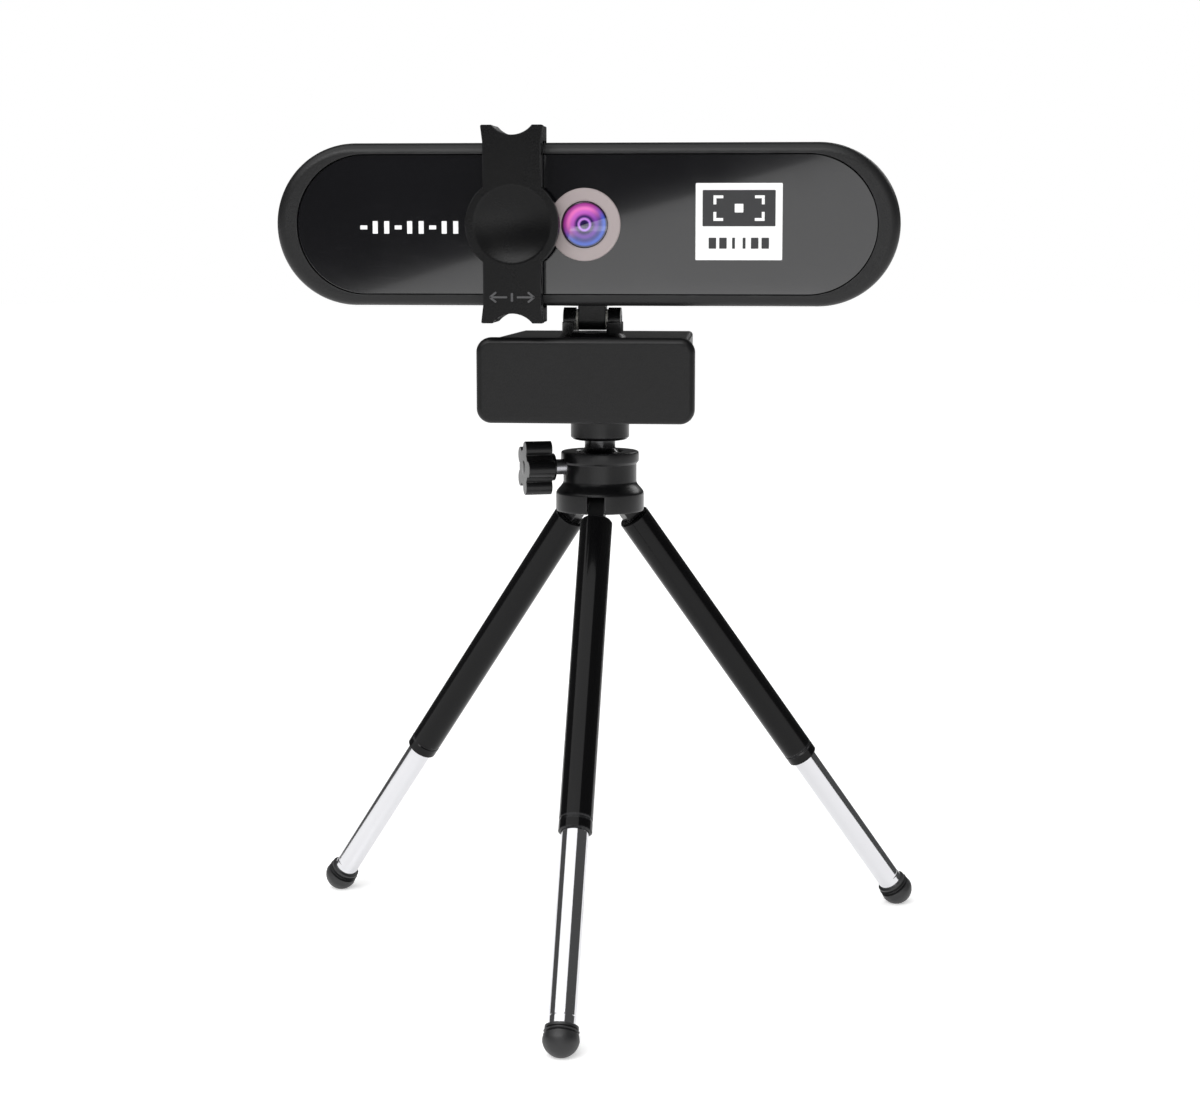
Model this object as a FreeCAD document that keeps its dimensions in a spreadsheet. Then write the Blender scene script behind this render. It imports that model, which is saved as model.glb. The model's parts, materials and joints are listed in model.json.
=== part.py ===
"""A webcam on a mini tripod: camera with a sliding lens cover, folding clip, ball head, three legs.

Frame: millimetres, +Z up, +X to the right of someone who looks at the lens, +Y away from them.
The origin is on the surface that the feet stand on, on the axis of the tripod's head.
The pose is the standing one: legs spread and drawn out, clip closed, camera level.
"""

import FreeCAD, Part
import math
import os
import Sketcher
from FreeCAD import Placement, Rotation, Vector

document = FreeCAD.newDocument("webcam_on_tripod")

# Driving dimensions, in millimetres and degrees. Each is written here and nowhere else.
SIZES = {
    # Fits
    "turning_fit": 0.05,
    "press_fit": 0.02,
    "body_gap": 0.3,
    "panel_fit": 0.1,
    # Legs
    "leg_reach": 103.0,
    "leg_spread": 36.8,
    "pivot_radius": 4.8,
    "eye_radius": 1.7,
    "eye_thickness": 3.0,
    "leg_pin_radius": 0.75,
    "leg_pin_length": 8.4,
    "tube_radius": 3.0,
    "tube_wall": 0.5,
    "tube_start": 3.6,
    "tube_length": 62.4,
    "plug_length": 4.8,
    "inner_fit": 0.1,
    "inner_wall": 0.45,
    "inner_overlap": 21.0,
    "bush_height": 1.4,
    "bush_plug": 3.0,
    "foot_radius": 3.2,
    "foot_sleeve": 2.2,
    "foot_flat": 0.15,
    # Tripod head
    "collar_drop": 1.5,
    "skirt_radius": 8.3,
    "skirt_height": 3.5,
    "collar_radius": 6.9,
    "rim_radius": 7.35,
    "rim_height": 1.9,
    "ball_radius": 4.5,
    "ball_rise": 1.6,
    "socket_floor": 0.3,
    "seat_height": 1.8,
    "stem_radius": 2.9,
    "ball_tilt": 15.0,
    "knob_turn": 20.0,
    "knob_reach": 9.8,
    "knob_thickness": 5.0,
    "knob_radius": 5.2,
    "knob_lobe": 1.55,
    "clamp_radius": 1.45,
    "platform_radius": 5.65,
    "platform_gap": 2.1,
    "platform_height": 6.35,
    "platform_pad": 0.8,
    "stud_radius": 3.175,
    "stud_height": 5.0,
    # Clip
    "lip_width": 38.8,
    "lip_height": 15.2,
    "lip_cover": 2.5,
    "lip_plate": 2.0,
    "lip_corner": 2.6,
    "lip_round": 1.2,
    "lip_reach": 28.0,
    "lip_drop": 2.05,
    "hinge_back": 18.0,
    "barrel_radius": 2.5,
    "barrel_gap": 0.5,
    "hinge_pin_radius": 1.0,
    "hinge_centre_width": 18.6,
    "hinge_ear_width": 4.0,
    "hinge_cap": 0.8,
    "arm_front_width": 36.0,
    "arm_rear_width": 33.0,
    "upper_thickness": 4.2,
    "jaw_gap": 0.3,
    "pad_thickness": 1.0,
    "pad_recess": 0.55,
    "pad_margin": 1.5,
    "lower_deck": 2.6,
    "lower_wall": 2.0,
    "lower_depth": 7.25,
    "groove_radius": 2.4,
    "groove_depth": 1.3,
    "groove_back": 5.4,
    "insert_radius": 4.5,
    "insert_height": 5.4,
    "foot_plate_width": 36.5,
    "foot_plate_length": 14.6,
    "foot_plate_thickness": 3.2,
    "foot_barrel": 1.9,
    "foot_pin_radius": 0.8,
    "foot_lug_width": 3.0,
    "foot_lug_offset": 10.5,
    "foot_rim": 1.8,
    "foot_pad_thickness": 1.0,
    "foot_pad_proud": 0.3,
    # Neck
    "neck_setback": 14.5,
    "neck_axis_rise": 3.2,
    "neck_base_radius": 6.25,
    "neck_base_height": 0.9,
    "neck_radius": 5.55,
    "knuckle_radius": 2.2,
    "lug_radius": 1.9,
    "lug_width": 5.0,
    "neck_washer": 0.4,
    "tilt_pin_radius": 0.9,
    "spigot_radius": 3.0,
    "spigot_web": 2.15,
    "swivel_head_radius": 2.6,
    "swivel_head_height": 0.95,
    "swivel_washer_radius": 4.4,
    "swivel_shank": 1.3,
    # Camera
    "camera_width": 110.0,
    "camera_height": 28.4,
    "camera_depth": 26.0,
    "camera_lift": 2.9,
    "camera_forward": 14.5,
    "bezel_depth": 4.5,
    "bezel_round": 1.9,
    "bezel_web": 1.6,
    "bezel_wall": 2.4,
    "rim_side": 3.8,
    "rim_top": 1.9,
    "panel_thickness": 1.4,
    "panel_recess": 0.4,
    "shell_step": 0.3,
    "shell_taper": 1.5,
    "shell_round": 5.0,
    "shell_wall": 2.3,
    "groove_inset": 1.2,
    "groove_width": 1.4,
    "lens_radius": 4.0,
    "lens_wall": 0.8,
    "lens_length": 10.6,
    "ring_radius": 6.35,
    "ring_thickness": 0.4,
    "window_thickness": 0.8,
    "housing_side": 14.0,
    "housing_depth": 8.0,
    "board_fit": 1.2,
    "board_height": 20.0,
    "board_thickness": 1.6,
    "board_back": 7.4,
    "boss_radius": 2.6,
    "boss_inset": 14.2,
    "screw_radius": 1.1,
    "screw_head_radius": 2.3,
    "screw_head_height": 1.2,
    "small_screw_radius": 0.8,
    "small_screw_head": 1.6,
    "small_screw_rise": 1.0,
    "standoff_radius": 2.0,
    "mount_plate_radius": 8.3,
    "mount_plate_height": 1.4,
    "gland_radius": 3.4,
    "gland_bore": 1.7,
    # Sliding lens cover
    "cover_offset": 12.35,
    "cover_width": 10.2,
    "cover_hook": 2.7,
    "cover_disc": 8.25,
    "cover_dish": 7.0,
    "cover_dish_depth": 0.8,
    "cover_gap": 0.25,
    "carriage_thickness": 1.4,
    "face_thickness": 1.8,
    "scallop_radius": 4.6,
    "scallop_depth": 1.7,
    "nib_reach": 0.8,
    "nib_width": 0.8,
}

# Places that follow from the sizes. Heights are above the ground, depths are along +Y.
PLACES = {
    "pivot_z": "sizes.leg_reach * cos(sizes.leg_spread) + sizes.foot_radius - sizes.foot_flat",
    "bore": "sizes.tube_radius - sizes.tube_wall",
    "inner_radius": "bore - sizes.inner_fit",
    "tube_end": "sizes.tube_start + sizes.tube_length",
    "inner_start": "tube_end - sizes.inner_overlap",
    "inner_end": "sizes.leg_reach - sizes.foot_sleeve * 0.35",
    "collar_z": "pivot_z - sizes.collar_drop",
    "slot_top": "pivot_z + sizes.eye_radius + sizes.body_gap / 2",
    "ball_z": "slot_top + sizes.socket_floor + sizes.body_gap + sizes.ball_radius",
    "collar_top": "ball_z + sizes.ball_radius - sizes.ball_rise",
    "ball_bore": "sizes.ball_radius + sizes.body_gap",
    "seat_z": "ball_z - sizes.seat_height - sizes.seat_height",
    "platform_z": "collar_top + sizes.platform_gap",
    "platform_top": "platform_z + sizes.platform_height",
    "base_z": "platform_top + sizes.platform_pad",
    "deck_top": "base_z + sizes.lower_depth",
    "deck_z": "deck_top - sizes.lower_deck",
    "pad_proud": "sizes.pad_thickness - sizes.pad_recess",
    "jaw_z": "deck_top + pad_proud + sizes.jaw_gap / 2",
    "upper_z": "jaw_z + sizes.jaw_gap / 2 + pad_proud",
    "upper_top": "upper_z + sizes.upper_thickness",
    "lip_front": "-sizes.lip_reach",
    "lip_joint": "lip_front + sizes.lip_cover",
    "lip_back": "lip_joint + sizes.lip_plate",
    "lip_z": "base_z - sizes.lip_drop",
    "lip_top": "lip_z + sizes.lip_height",
    "plate_end": "sizes.hinge_back - sizes.barrel_radius - sizes.barrel_gap",
    "foot_y": "lip_back + sizes.body_gap * 2 + sizes.foot_barrel",
    "foot_z": "deck_z - sizes.body_gap - sizes.foot_barrel - 0.05",
    "foot_under": "foot_z - sizes.foot_plate_thickness * 0.625",
    "neck_y": "lip_front + sizes.neck_setback",
    "axis_z": "upper_top + sizes.neck_axis_rise",
    "swivel_z": "upper_top - sizes.spigot_web",
    "camera_z": "axis_z + sizes.camera_lift + sizes.camera_height / 2",
    "front_y": "neck_y - sizes.camera_forward",
    "seam_y": "front_y + sizes.bezel_depth",
    "rear_y": "front_y + sizes.camera_depth",
    "panel_y": "front_y + sizes.panel_recess",
    "panel_width": "sizes.camera_width - 2 * sizes.rim_side",
    "panel_height": "sizes.camera_height - 2 * sizes.rim_top",
    "web_y": "panel_y + sizes.panel_thickness",
    "web_back": "web_y + sizes.bezel_web",
    "inside_y": "rear_y - sizes.shell_wall",
    "board_y": "rear_y - sizes.board_back - sizes.board_thickness",
    "lens_y": "panel_y + sizes.window_thickness + 0.2",
    "boss_x": "sizes.camera_width / 2 - sizes.boss_inset",
    "half_width": "sizes.camera_width / 2",
    "half_height": "sizes.camera_height / 2",
    "cavity_inset": "sizes.shell_step + sizes.shell_wall + sizes.body_gap",
    "cavity_half_width": "half_width - cavity_inset",
    "cavity_half_height": "half_height - cavity_inset",
    "board_width": "2 * (boss_x - sizes.boss_radius - sizes.board_fit)",
    "standoff_x": "board_width * 0.44",
    "cover_height": "sizes.camera_height + 2 * (sizes.cover_gap + sizes.cover_hook)",
    "cover_y": "front_y - sizes.cover_gap",
    "carriage_y": "cover_y - sizes.carriage_thickness",
    "face_y": "carriage_y - sizes.face_thickness",
    "plate_z": "axis_z + sizes.camera_lift - 0.2",
}

sizes = document.addObject("Spreadsheet::Sheet", "sizes")
for row, (alias, number) in enumerate(SIZES.items(), start=1):
    sizes.set(f"A{row}", str(number))
    sizes.setAlias(f"A{row}", alias)

places = document.addObject("Spreadsheet::Sheet", "places")
for row, (alias, formula) in enumerate(PLACES.items(), start=1):
    places.set(f"A{row}", f"={formula}")
    places.setAlias(f"A{row}", alias)
document.recompute()

# Turns that lay a primitive's own Z axis along another axis
ALONG = {
    "Z": Rotation(),
    "X": Rotation(Vector(0, 1, 0), 90),
    "Y": Rotation(Vector(1, 0, 0), -90),
}
LEGS = {"front": -90, "right": 30, "left": 150}

nodes = []


def value(expression):
    """The number that an expression of the two sheets gives."""
    return float(sizes.evalExpression(expression))


def bind(item, **fields):
    """Tie fields of an object to expressions of the sheets."""
    for field, expression in fields.items():
        item.setExpression(field, str(expression))
    return item


def at(item, x=0, y=0, z=0):
    """Tie the place of an object to expressions of the sheets."""
    for axis, expression in zip("xyz", (x, y, z)):
        item.setExpression(f"Placement.Base.{axis}", str(expression))
    return item


def slab(name, x, y, z):
    """A box between two values on each axis."""
    item = document.addObject("Part::Box", name)
    length, width, height = (f"({high}) - ({low})" for low, high in (x, y, z))
    bind(item, Length=length, Width=width, Height=height)
    return at(item, x[0], y[0], z[0])


def rod(name, radius, along, start, end, x=0, y=0, z=0):
    """A cylinder along one axis, from start to end on that axis."""
    item = document.addObject("Part::Cylinder", name)
    bind(item, Radius=radius, Height=f"({end}) - ({start})")
    item.Placement = Placement(Vector(), ALONG[along])
    centre = {"X": x, "Y": y, "Z": z}
    centre[along] = start
    return at(item, centre["X"], centre["Y"], centre["Z"])


def taper(name, start_radius, end_radius, along, start, end, x=0, y=0, z=0):
    """A cone along one axis, from start to end on that axis."""
    item = document.addObject("Part::Cone", name)
    bind(item, Radius1=start_radius, Radius2=end_radius, Height=f"({end}) - ({start})")
    item.Placement = Placement(Vector(), ALONG[along])
    centre = {"X": x, "Y": y, "Z": z}
    centre[along] = start
    return at(item, centre["X"], centre["Y"], centre["Z"])


def ball(name, radius, x=0, y=0, z=0):
    """A sphere about a point."""
    item = document.addObject("Part::Sphere", name)
    return at(bind(item, Radius=radius), x, y, z)


def fuse(name, *items):
    """One solid of several that meet."""
    item = document.addObject("Part::MultiFuse", name)
    item.Shapes = list(items)
    item.Refine = True
    return item


def cut(name, base, *tools):
    """A solid with one or more others taken away."""
    item = document.addObject("Part::Cut", name)
    item.Base = base
    item.Tool = tools[0] if len(tools) == 1 else fuse(f"{name}_tools", *tools)
    item.Refine = True
    return item


def group(name, *items):
    """Separate solids that share one node."""
    item = document.addObject("Part::Compound", name)
    item.Links = list(items)
    return item


def common(name, first, second):
    """What two solids share."""
    item = document.addObject("Part::Common", name)
    item.Base = first
    item.Tool = second
    return item


def node(label, item):
    """Keep an object as a sub-part under its own label."""
    item.Label = label
    nodes.append(item)
    return item


def origin_plane(body, role):
    """One of a body's own origin planes."""
    return next(plane for plane in body.Origin.OriginFeatures if plane.Role == role)


def sketch_on(body, name, role, offset):
    """A sketch on an origin plane of its body, moved along the plane's normal."""
    sketch = body.newObject("Sketcher::SketchObject", name)
    sketch.AttachmentSupport = [(origin_plane(body, role), "")]
    sketch.MapMode = "FlatFace"
    sketch.setExpression("AttachmentOffset.Base.z", str(offset))
    return sketch


def draw_polygon(sketch, points):
    """A closed outline of straight lines, each corner tied to two expressions."""
    corners = [Vector(value(x), value(y), 0) for x, y in points]
    count = len(corners)
    for index, corner in enumerate(corners):
        sketch.addGeometry(Part.LineSegment(corner, corners[(index + 1) % count]), False)
    for index in range(count):
        sketch.addConstraint(Sketcher.Constraint("Coincident", index, 2, (index + 1) % count, 1))
    for index, (x, y) in enumerate(points):
        for kind, expression in (("DistanceX", x), ("DistanceY", y)):
            made = sketch.addConstraint(Sketcher.Constraint(kind, index, 1, value(expression)))
            sketch.setExpression(f"Constraints[{made}]", str(expression))


def draw_stadium(sketch, half_width, half_height):
    """A slot outline: two straight sides and two half circles."""
    radius = value(half_height)
    middle = value(f"({half_width}) - ({half_height})")
    sides = ((-middle, -radius, middle, -radius), (middle, radius, -middle, radius))
    for x0, y0, x1, y1 in sides:
        sketch.addGeometry(Part.LineSegment(Vector(x0, y0, 0), Vector(x1, y1, 0)), False)
    for side in (1, -1):
        circle = Part.Circle(Vector(side * middle, 0, 0), Vector(0, 0, 1), radius)
        start = -math.pi / 2 * side
        sketch.addGeometry(Part.ArcOfCircle(circle, start, start + math.pi), False)
    for line, end, arc, tip in ((0, 2, 2, 1), (2, 2, 1, 1), (1, 2, 3, 1), (3, 2, 0, 1)):
        sketch.addConstraint(Sketcher.Constraint("Tangent", line, end, arc, tip))
    for arc in (2, 3):
        sketch.addConstraint(Sketcher.Constraint("PointOnObject", arc, 3, -1))
    sketch.addConstraint(Sketcher.Constraint("Equal", 2, 3))
    made = sketch.addConstraint(Sketcher.Constraint("Radius", 2, radius))
    sketch.setExpression(f"Constraints[{made}]", str(half_height))
    for arc, sign in ((2, 1), (3, -1)):
        made = sketch.addConstraint(Sketcher.Constraint("DistanceX", arc, 3, sign * middle))
        sketch.setExpression(f"Constraints[{made}]", f"{sign} * (({half_width}) - ({half_height}))")


def pad(body, sketch, length, backward=False, taper_angle=None):
    """Extrude a sketch of the body."""
    feature = body.newObject("PartDesign::Pad", f"{body.Name}_pad")
    feature.Profile = sketch
    feature.Reversed = backward
    feature.setExpression("Length", str(length))
    if taper_angle:
        feature.setExpression("TaperAngle", str(taper_angle))
    document.recompute()
    return feature


def soften(body, kind, size, keep):
    """Round ("Fillet") or bevel ("Chamfer") the edges of the body that a test keeps."""
    base = body.Tip
    names = [f"Edge{n}" for n, edge in enumerate(base.Shape.Edges, start=1) if keep(edge)]
    feature = body.newObject(f"PartDesign::{kind}", f"{body.Name}_{kind.lower()}_{len(body.Group)}")
    feature.Base = (base, names)
    feature.setExpression("Radius" if kind == "Fillet" else "Size", str(size))
    document.recompute()
    return feature


def lies_at(axis, place):
    """A test for edges that lie in the plane where one coordinate has one value."""
    def keep(edge):
        low = getattr(edge.BoundBox, f"{axis}Min")
        high = getattr(edge.BoundBox, f"{axis}Max")
        return abs(low - place) < 1e-4 and abs(high - place) < 1e-4
    return keep


def runs_along(axis, reach):
    """A test for straight edges along one axis that are as long as reach."""
    def keep(edge):
        return abs(getattr(edge.BoundBox, f"{axis}Length") - reach) < 1e-4 and len(edge.Vertexes) == 2
    return keep


def stadium(name, half_width, half_height, front, back, tapered=None):
    """A slot-shaped body that stands in the XZ plane, between two depths."""
    body = document.addObject("PartDesign::Body", name)
    sketch = sketch_on(body, f"{name}_outline", "XZ_Plane", f"-({front})")
    draw_stadium(sketch, half_width, half_height)
    pad(body, sketch, f"({back}) - ({front})", backward=True, taper_angle=tapered)
    at(body, 0, 0, "places.camera_z")
    document.recompute()
    return body


def plate(name, points, low, high, corner=None):
    """A flat body with an outline in the XY plane, between two heights."""
    body = document.addObject("PartDesign::Body", name)
    sketch = sketch_on(body, f"{name}_outline", "XY_Plane", low)
    draw_polygon(sketch, points)
    pad(body, sketch, f"({high}) - ({low})")
    if corner:
        soften(body, "Fillet", corner, runs_along("Z", value(f"({high}) - ({low})")))
    return body


def turned(name, points):
    """A body of revolution about the Z axis, from radius and height pairs."""
    body = document.addObject("PartDesign::Body", name)
    sketch = sketch_on(body, f"{name}_outline", "XZ_Plane", 0)
    draw_polygon(sketch, points)
    feature = body.newObject("PartDesign::Revolution", f"{name}_turn")
    feature.Profile = sketch
    feature.ReferenceAxis = (sketch, ["V_Axis"])
    feature.Angle = 360
    document.recompute()
    return body


def rectangle(half_width, low, high, rear_half_width=None):
    """The four corners of an outline that is even about X = 0 and may narrow to the rear."""
    rear = rear_half_width or half_width
    return [(f"-({half_width})", low), (half_width, low), (rear, high), (f"-({rear})", high)]


# Tripod legs ---------------------------------------------------------------------------------


def set_leg(item, azimuth):
    """Stand something that hangs down from the origin on one leg's line."""
    radius = "sizes.pivot_radius"
    base = f"create(<<vector>>; {radius} * cos({azimuth}); {radius} * sin({azimuth}); places.pivot_z)"
    turn = f"create(<<rotation>>; {azimuth}; -sizes.leg_spread; 0)"
    item.setExpression("Placement", f"create(<<placement>>; {base}; {turn})")
    return item


def leg_rod(name, radius, start, end):
    """A cylinder on the leg's own line, between two distances from the pivot."""
    return rod(name, radius, "Z", f"-({end})", f"-({start})")


def leg_eye(side, azimuth):
    """The plug in a tube's top with the flat eye that swings in the head."""
    name = f"leg_eye_{side}"
    half = "sizes.eye_thickness / 2"
    plug_end = "sizes.tube_start + sizes.plug_length"
    radius = "places.bore - sizes.press_fit"
    plug = leg_rod(f"{name}_plug", radius, "sizes.tube_start", plug_end)
    reach = ("-sizes.eye_radius", "sizes.eye_radius")
    tongue = slab(f"{name}_tongue", reach, (f"-{half}", half), ("-sizes.tube_start - 0.5", "0"))
    eye = rod(f"{name}_round", "sizes.eye_radius", "Y", f"-{half}", half)
    hole_radius = "sizes.leg_pin_radius + sizes.turning_fit"
    hole = rod(f"{name}_hole", hole_radius, "Y", f"-{half} - 1", f"{half} + 1")
    whole = cut(f"{name}_cut", fuse(f"{name}_solid", plug, tongue, eye), hole)
    node(name, set_leg(whole, azimuth))


def leg_tube(side, azimuth):
    """The outer tube."""
    name = f"leg_tube_{side}"
    skin = leg_rod(f"{name}_skin", "sizes.tube_radius", "sizes.tube_start", "places.tube_end")
    hollow = leg_rod(f"{name}_bore", "places.bore", "sizes.tube_start - 1", "places.tube_end + 1")
    node(name, set_leg(cut(f"{name}_cut", skin, hollow), azimuth))


def leg_inner(side, azimuth):
    """The inner tube, which slides into the outer one."""
    name = f"leg_inner_{side}"
    skin = leg_rod(f"{name}_skin", "places.inner_radius", "places.inner_start", "places.inner_end")
    radius = "places.inner_radius - sizes.inner_wall"
    hollow = leg_rod(f"{name}_bore", radius, "places.inner_start - 1", "places.inner_end + 1")
    node(name, set_leg(cut(f"{name}_cut", skin, hollow), azimuth))


def leg_bush(side, azimuth):
    """The friction bush that is plugged into the inner tube's top."""
    name = f"leg_bush_{side}"
    top = "places.inner_start - sizes.bush_height"
    wide = leg_rod(f"{name}_ring", "places.bore - sizes.turning_fit", top, "places.inner_start")
    radius = "places.inner_radius - sizes.inner_wall - sizes.press_fit"
    narrow_end = "places.inner_start + sizes.bush_plug"
    narrow = leg_rod(f"{name}_plug", radius, "places.inner_start", narrow_end)
    node(name, set_leg(fuse(f"{name}_solid", wide, narrow), azimuth))


def leg_foot(side, azimuth):
    """The rubber foot, a sleeve with a round end that is worn flat where it stands."""
    name = f"leg_foot_{side}"
    start = "sizes.leg_reach - sizes.foot_sleeve"
    sleeve = leg_rod(f"{name}_sleeve", "sizes.foot_radius", start, "sizes.leg_reach")
    dome = ball(f"{name}_dome", "sizes.foot_radius", z="-sizes.leg_reach")
    socket_radius = "places.inner_radius + sizes.press_fit"
    socket = leg_rod(f"{name}_socket", socket_radius, f"{start} - 1", "places.inner_end")
    whole = cut(f"{name}_hollow", fuse(f"{name}_solid", sleeve, dome), socket)
    set_leg(whole, azimuth)
    reach = "sizes.leg_reach + sizes.pivot_radius"
    span = (f"-({reach})", reach)
    ground = slab(f"{name}_ground", span, span, ("-5", "0"))
    node(name, cut(f"{name}_cut", whole, ground))


def leg_pins():
    """The three pins that the legs swing on."""
    pins = []
    half = "sizes.leg_pin_length / 2"
    for side, azimuth in LEGS.items():
        pin = rod(f"leg_pin_{side}", "sizes.leg_pin_radius", "Y", f"-{half}", half)
        holder = group(f"leg_pin_{side}_placed", pin)
        pins.append(set_leg(holder, azimuth))
    node("leg_pins", group("leg_pins_all", *pins))


# Tripod head ---------------------------------------------------------------------------------


def set_knob(item, reach=0):
    """Turn something that stands on the origin to lie on the clamp's line."""
    azimuth = "(180 + sizes.knob_turn)"
    x = f"({reach}) * cos({azimuth})"
    y = f"({reach}) * sin({azimuth})"
    base = f"create(<<vector>>; {x}; {y}; places.ball_z)"
    turn = f"create(<<rotation>>; {azimuth}; 90; 0)"
    item.setExpression("Placement", f"create(<<placement>>; {base}; {turn})")
    return item


def head_collar():
    """The head: a skirt that the legs swing in, the ball's socket and its mouth."""
    skirt_top = "places.collar_z + sizes.skirt_height"
    rim_z = "places.collar_top - sizes.rim_height"
    outline = [
        ("0", "places.collar_z"),
        ("sizes.skirt_radius", "places.collar_z"),
        ("sizes.skirt_radius", skirt_top),
        ("sizes.collar_radius", f"{skirt_top} + 2"),
        ("sizes.collar_radius", f"{rim_z} - 0.45"),
        ("sizes.rim_radius", rim_z),
        ("sizes.rim_radius", "places.collar_top - 0.3"),
        ("sizes.rim_radius - 0.3", "places.collar_top"),
        ("0", "places.collar_top"),
    ]
    outside = turned("collar_outside", outline)
    depth = "places.collar_top - places.ball_z"
    mouth = f"sizes.stem_radius / cos(sizes.ball_tilt) + ({depth}) * tan(sizes.ball_tilt) + 0.5"
    hollow = [
        ("0", "places.seat_z"),
        ("places.ball_bore", "places.seat_z"),
        ("places.ball_bore", "places.ball_z + sizes.ball_radius * 0.36"),
        (mouth, "places.collar_top"),
        (mouth, "places.collar_top + 1"),
        ("0", "places.collar_top + 1"),
    ]
    tools = [turned("collar_socket", hollow)]
    tools.append(ball("collar_dimple", "places.ball_bore", z="places.ball_z"))
    half = "(sizes.eye_thickness / 2 + sizes.body_gap / 2)"
    low = "-sizes.eye_radius - sizes.body_gap"
    for side, azimuth in LEGS.items():
        high = "sizes.skirt_radius - sizes.pivot_radius + 1"
        top = "sizes.eye_radius + sizes.body_gap / 2"
        slot = slab(f"slot_{side}", (low, high), (f"-{half}", half), ("-sizes.collar_drop - 1", top))
        pin_radius = "sizes.leg_pin_radius + sizes.press_fit"
        reach = "sizes.leg_pin_length / 2 + sizes.press_fit"
        pin = rod(f"pin_hole_{side}", pin_radius, "Y", f"-({reach})", reach)
        both = fuse(f"slot_and_hole_{side}", slot, pin)
        radius = "sizes.pivot_radius"
        at(both, f"{radius} * cos({azimuth})", f"{radius} * sin({azimuth})", "places.pivot_z")
        both.Placement.Rotation = Rotation(Vector(0, 0, 1), azimuth)
        tools.append(both)
    hole_radius = "sizes.clamp_radius + sizes.turning_fit"
    hole = rod("clamp_hole", hole_radius, "Z", "0", "sizes.skirt_radius + 2")
    tools.append(set_knob(group("clamp_hole_placed", hole)))
    node("head_collar", cut("collar_cut", outside, *tools))


def ball_seat():
    """The cup under the ball."""
    radius = "places.ball_bore - sizes.press_fit"
    top = "places.seat_z + sizes.seat_height"
    ring = rod("seat_ring", radius, "Z", "places.seat_z", top)
    dish = ball("seat_dish", "sizes.ball_radius + sizes.body_gap / 2", z="places.ball_z")
    node("ball_seat", cut("seat_cut", ring, dish))


def ball_stem():
    """The ball and its stem."""
    globe = ball("stem_ball", "sizes.ball_radius", z="places.ball_z")
    stem = rod("stem_rod", "sizes.stem_radius", "Z", "places.ball_z", "places.platform_z")
    node("ball_stem", fuse("stem_solid", globe, stem))


def platform():
    """The round platform with its bevelled foot, and a bore for the stud."""
    bevel = "0.6"
    radius = "sizes.platform_radius"
    top = "places.platform_top"
    outline = [
        ("0", "places.platform_z"),
        (f"{radius} - {bevel}", "places.platform_z"),
        (radius, f"places.platform_z + {bevel}"),
        (radius, top),
        ("0", top),
    ]
    stud_start = "places.platform_z + sizes.platform_height / 3"
    hole = rod("stud_hole", "sizes.stud_radius + sizes.press_fit", "Z", stud_start, f"{top} + 1")
    node("platform", cut("platform_cut", turned("platform_solid", outline), hole))
    disc = rod("pad_disc", f"{radius} - 0.1", "Z", top, "places.base_z")
    gap = rod("pad_hole", "sizes.stud_radius + 0.2", "Z", f"{top} - 1", "places.base_z + 1")
    node("platform_pad", cut("platform_pad_cut", disc, gap))
    stud_top = "places.base_z + sizes.stud_height"
    stud = rod("stud_rod", "sizes.stud_radius", "Z", stud_start, f"{stud_top} - 0.6")
    tip_end = "sizes.stud_radius - 0.6"
    tip = taper("stud_tip", "sizes.stud_radius", tip_end, "Z", f"{stud_top} - 0.6", stud_top)
    node("tripod_stud", fuse("stud_solid", stud, tip))


def clamp():
    """The clamping screw and the lobed knob on it."""
    start = "sizes.ball_radius + 0.1"
    hidden = "sizes.knob_reach + sizes.knob_thickness * 0.6"
    screw = rod("clamp_rod", "sizes.clamp_radius", "Z", start, hidden)
    node("clamp_screw", set_knob(group("clamp_screw_placed", screw)))
    hub_radius = "sizes.knob_radius - sizes.knob_lobe * 1.15"
    pieces = [rod("knob_hub", hub_radius, "Z", "0", "sizes.knob_thickness")]
    pieces.append(rod("knob_collar", "sizes.clamp_radius + 1.1", "Z", "-0.9", "0"))
    for lobe in range(5):
        reach = "(sizes.knob_radius - sizes.knob_lobe)"
        angle = lobe * 72 + 18
        x = f"{reach} * cos({angle})"
        y = f"{reach} * sin({angle})"
        pieces.append(rod(f"lobe_{lobe}", "sizes.knob_lobe", "Z", "0", "sizes.knob_thickness", x, y))
    hole_radius = "sizes.clamp_radius + sizes.press_fit"
    hole = rod("knob_hole", hole_radius, "Z", "-2", "sizes.knob_thickness * 0.6")
    knob = cut("knob_cut", fuse("knob_solid", *pieces), hole)
    node("clamp_knob", set_knob(knob, "sizes.knob_reach"))


# Clip ----------------------------------------------------------------------------------------


def hinge_barrel(name, low, high, upper):
    """One barrel of the clip's hinge with the tongue that joins it to its arm."""
    y = "sizes.hinge_back"
    barrel = rod(f"{name}_barrel", "sizes.barrel_radius", "X", low, high, y=y, z="places.jaw_z")
    inner = "places.jaw_z + sizes.barrel_gap"
    outer = "places.jaw_z + sizes.barrel_radius"
    if not upper:
        inner, outer = "places.jaw_z - sizes.barrel_radius", "places.jaw_z - sizes.barrel_gap"
    tongue = slab(f"{name}_tongue", (low, high), ("places.plate_end - 0.5", y), (inner, outer))
    return fuse(name, barrel, tongue)


def hinge_hole(name, fit):
    """The bore for the clip's hinge pin."""
    radius = f"sizes.hinge_pin_radius + {fit}"
    return rod(name, radius, "X", "-30", "30", y="sizes.hinge_back", z="places.jaw_z")


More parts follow.
